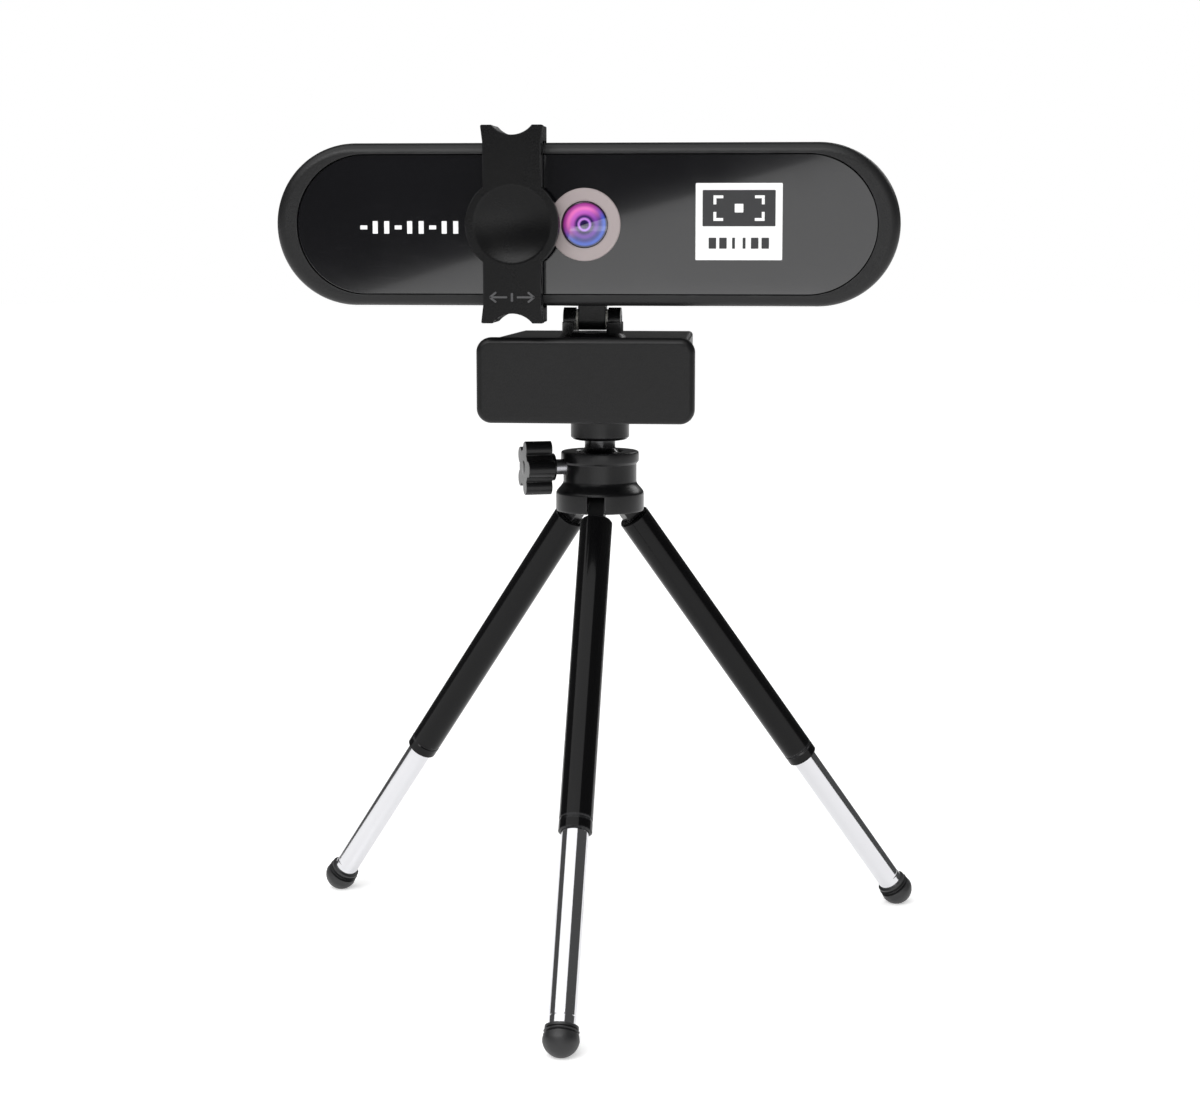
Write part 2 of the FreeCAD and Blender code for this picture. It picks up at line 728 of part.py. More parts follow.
def upper_arm():
    """The arm that carries the camera, with its barrel and the plate behind the lip."""
    front = "sizes.arm_front_width / 2"
    rear = "sizes.arm_rear_width / 2"
    outline = rectangle(front, "places.lip_joint", "places.plate_end", rear)
    arm = plate("upper_plate", outline, "places.upper_z", "places.upper_top")
    soften(arm, "Fillet", "0.8", lies_at("Z", value("places.upper_top")))
    side = "sizes.lip_width / 2 - 0.8"
    depth = ("places.lip_joint", "places.lip_back")
    lip = slab("lip_plate", (f"-({side})", side), depth, ("places.lip_z + 0.6", "places.upper_z + 1"))
    half = "sizes.hinge_centre_width / 2"
    barrel = hinge_barrel("upper_barrel", f"-{half}", half, True)
    solid = fuse("upper_solid", arm, lip, barrel)
    y = "places.neck_y"
    bore_radius = "sizes.spigot_radius + sizes.turning_fit"
    bore = rod("swivel_bore", bore_radius, "Z", "places.upper_z", "places.upper_top + 1", y=y)
    pocket_radius = "sizes.swivel_washer_radius + sizes.body_gap"
    pocket = rod("swivel_pocket", pocket_radius, "Z", "places.upper_z - 1", "places.swivel_z", y=y)
    pad_top = "places.upper_z + sizes.pad_recess"
    recess = plate("upper_recess", pad_outline("places.lip_back", 0), "places.upper_z - 1", pad_top)
    hole = hinge_hole("upper_pin_hole", "sizes.turning_fit")
    node("upper_arm", cut("upper_cut", solid, bore, pocket, recess, hole))


def pad_outline(front, shrink):
    """The outline of a jaw pad, a margin in from the arm's edges."""
    margin = f"sizes.pad_margin + {shrink}"
    half = f"sizes.arm_rear_width / 2 - ({margin})"
    return rectangle(half, f"{front} + {margin}", f"places.plate_end - ({margin})")


def lip_cover():
    """The bevelled front of the lip."""
    body = document.addObject("PartDesign::Body", "lip_body")
    sketch = sketch_on(body, "lip_outline", "XZ_Plane", "-places.lip_joint")
    half = "sizes.lip_width / 2"
    draw_polygon(sketch, rectangle(half, "places.lip_z", "places.lip_top"))
    pad(body, sketch, "sizes.lip_cover")
    soften(body, "Fillet", "sizes.lip_corner", runs_along("Y", value("sizes.lip_cover")))
    soften(body, "Fillet", "sizes.lip_round", lies_at("Y", value("places.lip_front")))
    node("lip_cover", body)


def jaw_pads():
    """The two rubber pads that grip a screen's edge."""
    low = "places.jaw_z + sizes.jaw_gap / 2"
    outline = pad_outline("places.lip_back", "sizes.turning_fit")
    node("upper_pad", plate("upper_pad_plate", outline, low, f"{low} + sizes.pad_thickness"))
    high = "places.jaw_z - sizes.jaw_gap / 2"
    outline = pad_outline(lower_pad_front(), "sizes.turning_fit")
    node("lower_pad", plate("lower_pad_plate", outline, f"{high} - sizes.pad_thickness", high))


def lower_pad_front():
    """The depth where the lower arm's flat top starts, behind its groove."""
    return "places.lip_back + sizes.body_gap + sizes.groove_back + sizes.groove_radius - sizes.pad_margin"


def hinge_pin():
    """The clip's hinge pin, and a cap on each end."""
    half = "(sizes.hinge_centre_width / 2 + sizes.hinge_ear_width + 0.2)"
    y = "sizes.hinge_back"
    pin = rod("clip_pin", "sizes.hinge_pin_radius", "X", f"-{half}", half, y=y, z="places.jaw_z")
    node("hinge_pin", pin)
    caps = []
    end = f"({half} + sizes.hinge_cap)"
    for name, low, high in (("left", f"-{end}", f"-{half}"), ("right", half, end)):
        radius = "sizes.barrel_radius - 0.2"
        caps.append(rod(f"cap_{name}", radius, "X", low, high, y=y, z="places.jaw_z"))
    node("hinge_caps", group("hinge_caps_all", *caps))


def lower_arm():
    """The arm that stands on the tripod: a deck with side walls, a screw boss and two hinges."""
    half = "sizes.arm_rear_width / 2"
    inner = f"{half} - sizes.lower_wall"
    front = "places.lip_back + sizes.body_gap"
    deck = plate("lower_deck", rectangle(half, front, "places.plate_end"), "places.deck_z", "places.deck_top")
    edge = lies_at("Y", value(front))
    soften(deck, "Fillet", "sizes.lower_deck * 0.4", lambda e: edge(e) and e.BoundBox.XLength > 1)
    wall_front = "places.foot_y + sizes.foot_plate_length + 0.5"
    pieces = [deck]
    for name, low, high in (("left", f"-({half})", f"-({inner})"), ("right", inner, half)):
        heights = ("places.base_z", "places.deck_z + 1")
        pieces.append(slab(f"wall_{name}", (low, high), (wall_front, "places.plate_end"), heights))
    pieces.append(rod("screw_boss", "sizes.platform_radius", "Z", "places.base_z", "places.deck_z + 1"))
    centre = "sizes.hinge_centre_width / 2 + 0.2"
    ear = f"{centre} + sizes.hinge_ear_width"
    pieces.append(hinge_barrel("ear_left", f"-({ear})", f"-({centre})", False))
    pieces.append(hinge_barrel("ear_right", centre, ear, False))
    lug = "sizes.foot_lug_width / 2"
    for name, middle in (("left", "-sizes.foot_lug_offset"), ("right", "sizes.foot_lug_offset")):
        y, z = "places.foot_y", "places.foot_z"
        span = (f"{middle} - {lug}", f"{middle} + {lug}")
        pieces.append(rod(f"foot_lug_{name}", "sizes.foot_barrel", "X", *span, y=y, z=z))
        reach = (f"{y} - sizes.foot_barrel", f"{y} + sizes.foot_barrel")
        pieces.append(slab(f"foot_lug_neck_{name}", span, reach, (z, "places.deck_z + 1")))
    solid = fuse("lower_solid", *pieces)
    y = f"{front} + sizes.groove_back"
    z = "places.deck_top + sizes.groove_radius - sizes.groove_depth"
    groove = rod("front_groove", "sizes.groove_radius", "X", "-30", "30", y=y, z=z)
    pad_low = "places.deck_top - sizes.pad_recess"
    recess = plate("lower_recess", pad_outline(lower_pad_front(), 0), pad_low, "places.deck_top + 1")
    insert_top = "places.base_z + sizes.insert_height + sizes.press_fit"
    insert_radius = "sizes.insert_radius + sizes.press_fit"
    insert = rod("insert_hole", insert_radius, "Z", "places.base_z - 1", insert_top)
    hole = hinge_hole("lower_pin_hole", "sizes.press_fit")
    radius = "sizes.foot_pin_radius + sizes.press_fit"
    foot_hole = rod("lug_hole", radius, "X", "-30", "30", y="places.foot_y", z="places.foot_z")
    node("lower_arm", cut("lower_cut", solid, groove, recess, insert, hole, foot_hole))


def thread_insert():
    """The brass insert that the tripod's stud screws into."""
    low = "places.base_z + 0.1"
    high = "places.base_z + sizes.insert_height"
    skin = rod("insert_skin", "sizes.insert_radius", "Z", low, high)
    bore = rod("insert_bore", "sizes.stud_radius + sizes.turning_fit", "Z", f"{low} - 1", f"{high} + 1")
    node("thread_insert", cut("insert_cut", skin, bore))


def foot_plate():
    """The fold-out foot of the lower arm, its pad and its pin."""
    half = "sizes.foot_plate_width / 2"
    y, z = "places.foot_y", "places.foot_z"
    top = "places.foot_under + sizes.foot_plate_thickness"
    end = f"{y} + sizes.foot_plate_length"
    leaf = plate("foot_leaf", rectangle(half, y, end), "places.foot_under", top)
    barrel = rod("foot_barrel_rod", "sizes.foot_barrel", "X", f"-({half})", half, y=y, z=z)
    tools = []
    slot = "sizes.foot_lug_width / 2 + sizes.body_gap"
    for name, middle in (("left", "-sizes.foot_lug_offset"), ("right", "sizes.foot_lug_offset")):
        span = (f"{middle} - ({slot})", f"{middle} + {slot}")
        reach = (f"{y} - sizes.foot_barrel - 1", f"{y} + sizes.foot_barrel * 1.65")
        tools.append(slab(f"foot_slot_{name}", span, reach, (f"{z} - 5", f"{z} + 5")))
    radius = "sizes.foot_pin_radius + sizes.turning_fit"
    tools.append(rod("foot_hole", radius, "X", "-30", "30", y=y, z=z))
    pad_front = f"{y} + sizes.foot_barrel * 1.65"
    pad_depth = "sizes.foot_pad_thickness - sizes.foot_pad_proud"
    outline = rectangle(f"{half} - sizes.foot_rim", pad_front, f"{end} - sizes.foot_rim")
    low = "places.foot_under - 1"
    tools.append(plate("foot_recess", outline, low, f"places.foot_under + {pad_depth}"))
    node("foot_plate", cut("foot_cut", fuse("foot_solid", leaf, barrel), *tools))
    fit = "sizes.panel_fit"
    inset = f"sizes.foot_rim - {fit}"
    inner = rectangle(f"{half} - {inset}", f"{pad_front} + {fit}", f"{end} - {inset}")
    low = "places.foot_under - sizes.foot_pad_proud"
    node("foot_pad", plate("foot_pad_plate", inner, low, f"{low} + sizes.foot_pad_thickness"))
    pin_half = f"({half} - 0.5)"
    pin = rod("foot_pin_rod", "sizes.foot_pin_radius", "X", f"-{pin_half}", pin_half, y=y, z=z)
    node("foot_pin", pin)


# Neck ----------------------------------------------------------------------------------------

SMALL_SCREW = "sizes.small_screw_radius"


def small_hole(fit="sizes.press_fit"):
    """The radius of a hole for a small screw."""
    return f"{SMALL_SCREW} + {fit}"


def swivel_fork():
    """The turning fork that holds the camera's lug, with a spigot down through the arm."""
    y, z = "places.neck_y", "places.axis_z"
    floor = "places.upper_top + sizes.turning_fit"
    base_top = f"{floor} + sizes.neck_base_height"
    pieces = [taper("neck_base", "sizes.neck_base_radius", "sizes.neck_radius", "Z", floor, base_top, y=y)]
    pieces.append(rod("neck_stub", "sizes.neck_radius", "Z", floor, f"{z} - 0.4", y=y))
    reach = "(sizes.neck_radius - 0.35)"
    pieces.append(rod("neck_knuckle", "sizes.knuckle_radius", "X", f"-{reach}", reach, y=y, z=z))
    pieces.append(rod("neck_spigot", "sizes.spigot_radius", "Z", "places.swivel_z", f"{floor} + 0.5", y=y))
    slot = "(sizes.lug_width / 2 + sizes.neck_washer + 0.05)"
    depth = f"{z} - sizes.lug_radius - sizes.body_gap"
    span = "sizes.neck_base_radius + 1"
    gap = slab("neck_slot", (f"-{slot}", slot), (f"{y} - ({span})", f"{y} + {span}"), (depth, f"{z} + 5"))
    radius = "sizes.tilt_pin_radius + sizes.press_fit"
    pin_hole = rod("neck_pin_hole", radius, "X", "-10", "10", y=y, z=z)
    screw_radius = "sizes.swivel_shank + sizes.press_fit"
    screw_hole = rod("neck_screw_hole", screw_radius, "Z", "places.swivel_z - 1", f"{depth} + 1", y=y)
    node("swivel_fork", cut("fork_cut", fuse("fork_solid", *pieces), gap, pin_hole, screw_hole))


def neck_hardware():
    """The tilt pin, its washers, and the screw and washer that keep the fork on the arm."""
    y, z = "places.neck_y", "places.axis_z"
    reach = "(sizes.neck_radius - 0.45)"
    node("tilt_pin", rod("tilt_pin_rod", "sizes.tilt_pin_radius", "X", f"-{reach}", reach, y=y, z=z))
    washers = []
    lug = "sizes.lug_width / 2"
    for name, low in (("left", f"-({lug} + sizes.neck_washer)"), ("right", lug)):
        high = f"{low} + sizes.neck_washer"
        skin = rod(f"washer_{name}_skin", "sizes.lug_radius", "X", low, high, y=y, z=z)
        bore_radius = "sizes.tilt_pin_radius + sizes.press_fit"
        bore = rod(f"washer_{name}_bore", bore_radius, "X", f"{low} - 1", f"{low} + 2", y=y, z=z)
        washers.append(cut(f"washer_{name}", skin, bore))
    node("tilt_washers", group("tilt_washers_all", *washers))
    washer_low = "places.swivel_z - sizes.neck_washer"
    skin = rod("swivel_washer_skin", "sizes.swivel_washer_radius", "Z", washer_low, "places.swivel_z", y=y)
    bore_radius = "sizes.swivel_shank + sizes.press_fit"
    bore = rod("swivel_washer_bore", bore_radius, "Z", f"{washer_low} - 1", "places.swivel_z + 1", y=y)
    node("swivel_washer", cut("swivel_washer_cut", skin, bore))
    head_low = f"{washer_low} - sizes.swivel_head_height"
    head = rod("swivel_head", "sizes.swivel_head_radius", "Z", head_low, washer_low, y=y)
    shank_top = f"{z} - sizes.lug_radius - sizes.body_gap - 0.1"
    shank = rod("swivel_shank", "sizes.swivel_shank", "Z", head_low, shank_top, y=y)
    node("swivel_screw", fuse("swivel_screw_solid", head, shank))


def tilt_lug():
    """The camera's lug on its round plate, and the screws that hold the plate."""
    y, z = "places.neck_y", "places.axis_z"
    plate_top = "places.plate_z + sizes.mount_plate_height"
    disc = rod("lug_disc", "sizes.mount_plate_radius", "Z", "places.plate_z", plate_top, y=y)
    half = "sizes.lug_width / 2"
    eye = rod("lug_eye", "sizes.lug_radius", "X", f"-{half}", half, y=y, z=z)
    reach = (f"{y} - sizes.lug_radius", f"{y} + sizes.lug_radius")
    web = slab("lug_web", (f"-{half}", half), reach, (z, "places.plate_z + 0.5"))
    radius = "sizes.tilt_pin_radius + sizes.turning_fit"
    hole = rod("lug_pin_hole", radius, "X", "-10", "10", y=y, z=z)
    tools = [hole]
    screws = []
    for name, x in (("left", "-sizes.mount_plate_radius * 0.6"), ("right", "sizes.mount_plate_radius * 0.6")):
        shank_low = "places.plate_z + 0.4"
        tools.append(rod(f"lug_hole_{name}", small_hole(), "Z", shank_low, f"{plate_top} + 1", x=x, y=y))
        floor = "places.camera_z - places.cavity_half_height"
        shank_high = f"{floor} + sizes.small_screw_rise / 2"
        shank = rod(f"lug_shank_{name}", SMALL_SCREW, "Z", f"{shank_low} + 0.1", shank_high, x=x, y=y)
        head_high = f"{floor} + sizes.small_screw_rise"
        head = rod(f"lug_head_{name}", "sizes.small_screw_head", "Z", floor, head_high, x=x, y=y)
        screws.append(fuse(f"lug_screw_{name}", shank, head))
    node("tilt_lug", cut("lug_cut", fuse("lug_solid", disc, eye, web), *tools))
    node("lug_screws", group("lug_screws_all", *screws))


# Camera --------------------------------------------------------------------------------------


def front_bezel():
    """The front ring with the web that carries the panel, the lens and the screw bosses."""
    half_width, half_height = "places.half_width", "places.half_height"
    ring = stadium("bezel_ring", half_width, half_height, "places.front_y", "places.seam_y")
    soften(ring, "Fillet", "sizes.bezel_round", lies_at("Y", value("places.front_y")))
    seat_width, seat_height = "places.panel_width / 2", "places.panel_height / 2"
    seat = stadium("panel_seat", seat_width, seat_height, "places.front_y - 1", "places.web_y")
    wall = "sizes.bezel_wall"
    inner_width, inner_height = f"{half_width} - {wall}", f"{half_height} - {wall}"
    hollow = stadium("bezel_hollow", inner_width, inner_height, "places.web_back", "places.seam_y + 1")
    z = "places.camera_z"
    hole_radius = "sizes.lens_radius + sizes.body_gap"
    hole = rod("bezel_lens_hole", hole_radius, "Y", "places.front_y - 1", "places.seam_y + 1", z=z)
    shell = cut("bezel_shell", ring, seat, hollow, hole)
    pieces = [shell]
    holes = []
    for name, sign in (("left", "-"), ("right", "")):
        x = f"{sign}places.boss_x"
        start = "places.web_back - 0.5"
        pieces.append(rod(f"boss_{name}", "sizes.boss_radius", "Y", start, "places.inside_y", x=x, z=z))
        radius = "sizes.screw_radius + sizes.press_fit"
        holes.append(rod(f"boss_hole_{name}", radius, "Y", "places.inside_y - 9", "places.rear_y", x=x, z=z))
        x = f"{sign}places.standoff_x"
        depth = (start, "places.board_y")
        pieces.append(rod(f"standoff_{name}", "sizes.standoff_radius", "Y", *depth, x=x, z=z))
        depth = ("places.board_y - 5", "places.rear_y")
        holes.append(rod(f"standoff_hole_{name}", small_hole(), "Y", *depth, x=x, z=z))
    node("front_bezel", cut("bezel_cut", fuse("bezel_solid", *pieces), *holes))


def front_panel():
    """The flat front panel, with a hole for the lens window."""
    fit = "sizes.panel_fit"
    half_width = f"places.panel_width / 2 - {fit}"
    half_height = f"places.panel_height / 2 - {fit}"
    sheet = stadium("panel_sheet", half_width, half_height, "places.panel_y", "places.web_y")
    radius = f"sizes.lens_radius + {fit} * 2"
    z = "places.camera_z"
    hole = rod("panel_hole", radius, "Y", "places.panel_y - 1", "places.web_y + 1", z=z)
    node("front_panel", cut("panel_cut", sheet, hole))


def lens():
    """The ring round the lens, the window, the barrel and the glass in it."""
    z = "places.camera_z"
    ring_front = "places.panel_y - sizes.ring_thickness"
    skin = rod("ring_skin", "sizes.ring_radius", "Y", ring_front, "places.panel_y", z=z)
    bore_radius = "sizes.lens_radius + sizes.panel_fit"
    bore = rod("ring_bore", bore_radius, "Y", f"{ring_front} - 1", "places.panel_y + 1", z=z)
    node("lens_ring", cut("ring_cut", skin, bore))
    window_back = "places.panel_y + sizes.window_thickness"
    window = rod("window_disc", bore_radius, "Y", "places.panel_y", window_back, z=z)
    node("lens_window", window)
    barrel_end = "places.lens_y + sizes.lens_length"
    skin = rod("barrel_skin", "sizes.lens_radius", "Y", "places.lens_y", barrel_end, z=z)
    inner = "sizes.lens_radius - sizes.lens_wall"
    bore = rod("barrel_bore", inner, "Y", "places.lens_y - 1", f"{barrel_end} + 1", z=z)
    node("lens_barrel", cut("barrel_cut", skin, bore))
    glass = f"{inner} - sizes.press_fit"
    disc = rod("front_glass", glass, "Y", "places.lens_y + 0.4", "places.lens_y + 2.6", z=z)
    dome_radius = "sizes.lens_radius * 1.5"
    dome = ball("front_dome", dome_radius, y=f"places.lens_y + 0.4 + {dome_radius}", z=z)
    node("lens_front_element", common("front_element", disc, dome))
    rears = []
    for number, start in enumerate(("places.lens_y + 4", "places.lens_y + 7")):
        rears.append(rod(f"rear_glass_{number}", glass, "Y", start, f"{start} + 1.5", z=z))
    node("lens_rear_elements", group("rear_elements", *rears))


def electronics():
    """The focus housing, the sensor, the main board and what is on it."""
    z = "places.camera_z"
    half = "sizes.housing_side / 2"
    start = "places.board_y - sizes.housing_depth"
    across = (f"-{half}", half)
    tall = (f"{z} - {half}", f"{z} + {half}")
    block = slab("housing_block", across, (start, "places.board_y"), tall)
    radius = "sizes.lens_radius + sizes.press_fit"
    bore = rod("housing_bore", radius, "Y", f"{start} - 1", "places.board_y + 1", z=z)
    node("focus_housing", cut("housing_cut", block, bore))
    depth = ("places.board_y - 0.9", "places.board_y")
    node("image_sensor", slab("sensor_chip", ("-2.4", "2.4"), depth, (f"{z} - 1.8", f"{z} + 1.8")))
    half_width = "places.board_width / 2"
    half_height = "sizes.board_height / 2"
    back = "places.board_y + sizes.board_thickness"
    board = slab(
        "board_slab",
        (f"-{half_width}", half_width),
        ("places.board_y", back),
        (f"{z} - {half_height}", f"{z} + {half_height}"),
    )
    holes = []
    screws = []
    for name, sign in (("left", "-"), ("right", "")):
        x = f"{sign}places.standoff_x"
        hole_radius = small_hole("sizes.panel_fit")
        depth = ("places.board_y - 1", f"{back} + 1")
        holes.append(rod(f"board_hole_{name}", hole_radius, "Y", *depth, x=x, z=z))
        shank = rod(f"board_shank_{name}", SMALL_SCREW, "Y", "places.board_y - 4", back, x=x, z=z)
        head_back = f"{back} + sizes.small_screw_rise"
        head = rod(f"board_head_{name}", "sizes.small_screw_head", "Y", back, head_back, x=x, z=z)
        screws.append(fuse(f"board_screw_{name}", shank, head))
    node("main_board", cut("board_cut", board, *holes))
    node("board_screws", group("board_screws_all", *screws))
    chips = []
    for number, (x, width, height) in enumerate(((-14, 9, 9), (2, 6, 5), (16, 7, 7))):
        span = (f"{x} - {width} / 2", f"{x} + {width} / 2")
        rise = (f"{z} - {height} / 2", f"{z} + {height} / 2")
        chips.append(slab(f"chip_{number}", span, (back, f"{back} + 1.2"), rise))
    node("board_chips", group("chips_all", *chips))
    cans = []
    for name, x in (("left", "-places.board_width * 0.3"), ("right", "places.board_width * 0.3")):
        cans.append(rod(f"microphone_{name}", "2", "Y", "places.board_y - 2.2", "places.board_y", x=x, z=z))
    node("microphones", group("microphones_all", *cans))


def rear_shell():
    """The tapered rear shell with the groove that the lens cover's nibs run in."""
    step = "sizes.shell_step"
    inset = "sizes.groove_inset"
    groove_end = "places.seam_y + sizes.groove_width"
    widths = (f"places.half_width - {step}", f"places.half_height - {step}")
    skin = stadium("shell_skin", *widths, groove_end, "places.rear_y", "-sizes.shell_taper")
    soften(skin, "Fillet", "sizes.shell_round", lies_at("Y", value("places.rear_y")))
    widths = (f"places.half_width - {inset}", f"places.half_height - {inset}")
    neck = stadium("shell_neck", *widths, "places.seam_y", f"{groove_end} + 1")
    widths = ("places.cavity_half_width", "places.cavity_half_height")
    hollow = stadium("shell_hollow", *widths, "places.seam_y - 1", "places.inside_y")
    tools = [hollow]
    y, z = "places.neck_y", "places.camera_z"
    disc_top = "places.plate_z + sizes.mount_plate_height"
    disc_radius = "sizes.mount_plate_radius + sizes.press_fit"
    tools.append(rod("shell_plate_hole", disc_radius, "Z", "places.plate_z - 2", disc_top, y=y))
    for name, sign in (("left", "-"), ("right", "")):
        x = f"{sign}places.boss_x"
        outside = "places.rear_y + 1"
        radius = "sizes.screw_radius + sizes.press_fit"
        tools.append(rod(f"shell_hole_{name}", radius, "Y", "places.inside_y - 1", outside, x=x, z=z))
        head_start = "places.rear_y - sizes.screw_head_height"
        radius = "sizes.screw_head_radius + sizes.press_fit"
        tools.append(rod(f"shell_sink_{name}", radius, "Y", head_start, outside, x=x, z=z))
        x = f"{sign}sizes.mount_plate_radius * 0.6"
        heights = (f"{disc_top} - 1", f"{disc_top} + 5")
        tools.append(rod(f"shell_lug_hole_{name}", small_hole(), "Z", *heights, x=x, y=y))
    gland_z = f"{z} - sizes.camera_height * 0.15"
    body_radius = "sizes.gland_radius - 0.8"
    gland_radius = f"{body_radius} + sizes.press_fit"
    depth = ("places.inside_y - 1", "places.rear_y + 1")
    tools.append(rod("shell_gland_hole", gland_radius, "Y", *depth, z=gland_z))
    node("rear_shell", cut("shell_cut", fuse("shell_solid", skin, neck), *tools))
    screws = []
    for name, sign in (("left", "-"), ("right", "")):
        x = f"{sign}places.boss_x"
        head_start = "places.rear_y - sizes.screw_head_height"
        depth = (head_start, "places.rear_y - 0.2")
        head = rod(f"shell_head_{name}", "sizes.screw_head_radius", "Y", *depth, x=x, z=z)
        depth = ("places.inside_y - 8", head_start)
        shank = rod(f"shell_shank_{name}", "sizes.screw_radius", "Y", *depth, x=x, z=z)
        screws.append(fuse(f"shell_screw_{name}", head, shank))
    node("shell_screws", group("shell_screws_all", *screws))
    depth = ("places.rear_y", "places.rear_y + 0.8")
    flange = rod("gland_flange", "sizes.gland_radius", "Y", *depth, z=gland_z)
    body = rod("gland_body", body_radius, "Y", "places.inside_y", "places.rear_y + 0.4", z=gland_z)
    depth = ("places.inside_y - 1", "places.rear_y + 2")
    bore = rod("gland_bore_rod", "sizes.gland_bore", "Y", *depth, z=gland_z)
    node("cable_gland", cut("gland_cut", fuse("gland_solid", flange, body), bore))


# Sliding lens cover --------------------------------------------------------------------------


def scallops(name):
    """The finger hollows in the two ends of the cover, as one tool."""
    tools = []
    x, z = "-sizes.cover_offset", "places.camera_z"
    reach = "(places.cover_height / 2 + sizes.scallop_radius - sizes.scallop_depth)"
    for side, sign in (("top", "+"), ("bottom", "-")):
        middle = f"{z} {sign} {reach}"
        y_range = ("places.face_y - 1", "places.seam_y + 10")
        tools.append(rod(f"{name}_{side}", "sizes.scallop_radius", "Y", *y_range, x=x, z=middle))
    return tools


def cover_carriage():
    """The rear layer of the cover, which hooks over the bezel's top and bottom."""
    x, z = "-sizes.cover_offset", "places.camera_z"
    half = "sizes.cover_width / 2"
    span = (f"{x} - {half}", f"{x} + {half}")
    top = "places.cover_height / 2"
    inner = "(places.half_height + sizes.cover_gap)"
    hook_end = "places.seam_y + sizes.body_gap + sizes.nib_width"
    depth = ("places.carriage_y", "places.cover_y")
    pieces = [slab("carriage_strap", span, depth, (f"{z} - {top}", f"{z} + {top}"))]
    pieces.append(rod("carriage_disc", "sizes.cover_disc - 0.5", "Y", *depth, x=x, z=z))
    for name, sign in (("top", 1), ("bottom", -1)):
        low, high = (f"{z} + {inner}", f"{z} + {top}")
        nib = (f"{z} + {inner} - sizes.nib_reach - sizes.cover_gap", high)
        if sign < 0:
            low, high = (f"{z} - {top}", f"{z} - {inner}")
            nib = (low, f"{z} - {inner} + sizes.nib_reach + sizes.cover_gap")
        pieces.append(slab(f"hook_{name}", span, ("places.carriage_y", hook_end), (low, high)))
        nib_depth = (f"{hook_end} - sizes.nib_width", hook_end)
        pieces.append(slab(f"nib_{name}", span, nib_depth, nib))
    solid = fuse("carriage_solid", *pieces)
    node("cover_carriage", cut("carriage_cut", solid, *scallops("carriage_scallop")))


def cover_face():
    """The front layer of the cover: the strap with its dished disc."""
    x, z = "-sizes.cover_offset", "places.camera_z"
    half = "sizes.cover_width / 2"
    top = "places.cover_height / 2"
    depth = ("places.face_y", "places.carriage_y")
    strap = slab("face_strap", (f"{x} - {half}", f"{x} + {half}"), depth, (f"{z} - {top}", f"{z} + {top}"))
    disc = rod("face_disc", "sizes.cover_disc", "Y", *depth, x=x, z=z)
    dish_radius = "(sizes.cover_dish ^ 2 / (2 * sizes.cover_dish_depth) + sizes.cover_dish_depth / 2)"
    dish_y = f"places.face_y + sizes.cover_dish_depth - {dish_radius}"
    dish = ball("face_dish", dish_radius, x=x, y=dish_y, z=z)
    solid = fuse("face_solid", strap, disc)
    node("cover_face", cut("face_cut", solid, dish, *scallops("face_scallop")))


for side, azimuth in LEGS.items():
    leg_eye(side, azimuth)
    leg_tube(side, azimuth)
    leg_inner(side, azimuth)
    leg_bush(side, azimuth)
    leg_foot(side, azimuth)
leg_pins()
head_collar()
ball_seat()
ball_stem()
platform()
clamp()
upper_arm()
lip_cover()
jaw_pads()
hinge_pin()
lower_arm()
thread_insert()
foot_plate()
swivel_fork()
neck_hardware()
tilt_lug()
front_bezel()
front_panel()
lens()
electronics()
rear_shell()
cover_carriage()
cover_face()
document.recompute()

for item in document.Objects:
    if "Invalid" in item.State or "Error" in item.State:
        raise RuntimeError(f"{item.Name} failed: {item.State}")
for item in nodes:
    if item.Shape.isNull() or not item.Shape.isValid():
        raise RuntimeError(f"{item.Label} has no sound shape")

os.makedirs("parts", exist_ok=True)
for item in nodes:
    item.Shape.exportStep(f"parts/{item.Label}.step")
print(len(nodes), "nodes")
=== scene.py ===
"""A webcam on a mini tripod: the visible surfaces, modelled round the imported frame."""

import json
import logging
import math
from collections.abc import Callable, Iterable, Sequence
from dataclasses import dataclass
from enum import Enum

import bmesh
import bpy
from mathutils import Matrix, Vector

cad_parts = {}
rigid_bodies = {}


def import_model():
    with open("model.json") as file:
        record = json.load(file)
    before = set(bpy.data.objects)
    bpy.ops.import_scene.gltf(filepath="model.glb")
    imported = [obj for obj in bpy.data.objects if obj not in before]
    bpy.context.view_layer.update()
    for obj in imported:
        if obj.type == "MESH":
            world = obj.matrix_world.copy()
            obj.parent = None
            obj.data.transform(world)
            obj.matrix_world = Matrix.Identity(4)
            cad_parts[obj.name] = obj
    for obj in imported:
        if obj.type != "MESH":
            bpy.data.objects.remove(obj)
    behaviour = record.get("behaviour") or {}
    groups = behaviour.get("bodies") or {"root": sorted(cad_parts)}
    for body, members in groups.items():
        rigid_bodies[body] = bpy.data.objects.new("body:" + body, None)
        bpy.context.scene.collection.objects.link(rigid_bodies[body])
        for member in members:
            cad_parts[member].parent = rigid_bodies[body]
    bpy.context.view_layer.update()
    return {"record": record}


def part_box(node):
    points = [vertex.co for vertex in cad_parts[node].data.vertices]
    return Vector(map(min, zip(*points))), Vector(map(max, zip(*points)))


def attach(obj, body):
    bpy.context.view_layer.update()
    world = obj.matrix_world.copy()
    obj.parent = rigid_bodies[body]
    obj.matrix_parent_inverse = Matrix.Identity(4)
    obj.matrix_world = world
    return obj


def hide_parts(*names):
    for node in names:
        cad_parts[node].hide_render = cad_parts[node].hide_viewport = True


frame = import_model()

MM = 0.001
NEAR = 0.001 * MM  # how close two coordinates are to be the same
SHARP = NEAR / 10  # how close a vertex is to a cut to be on it
FACES_FRONT = -0.999  # a face looks forwards if its normal's Y is under this
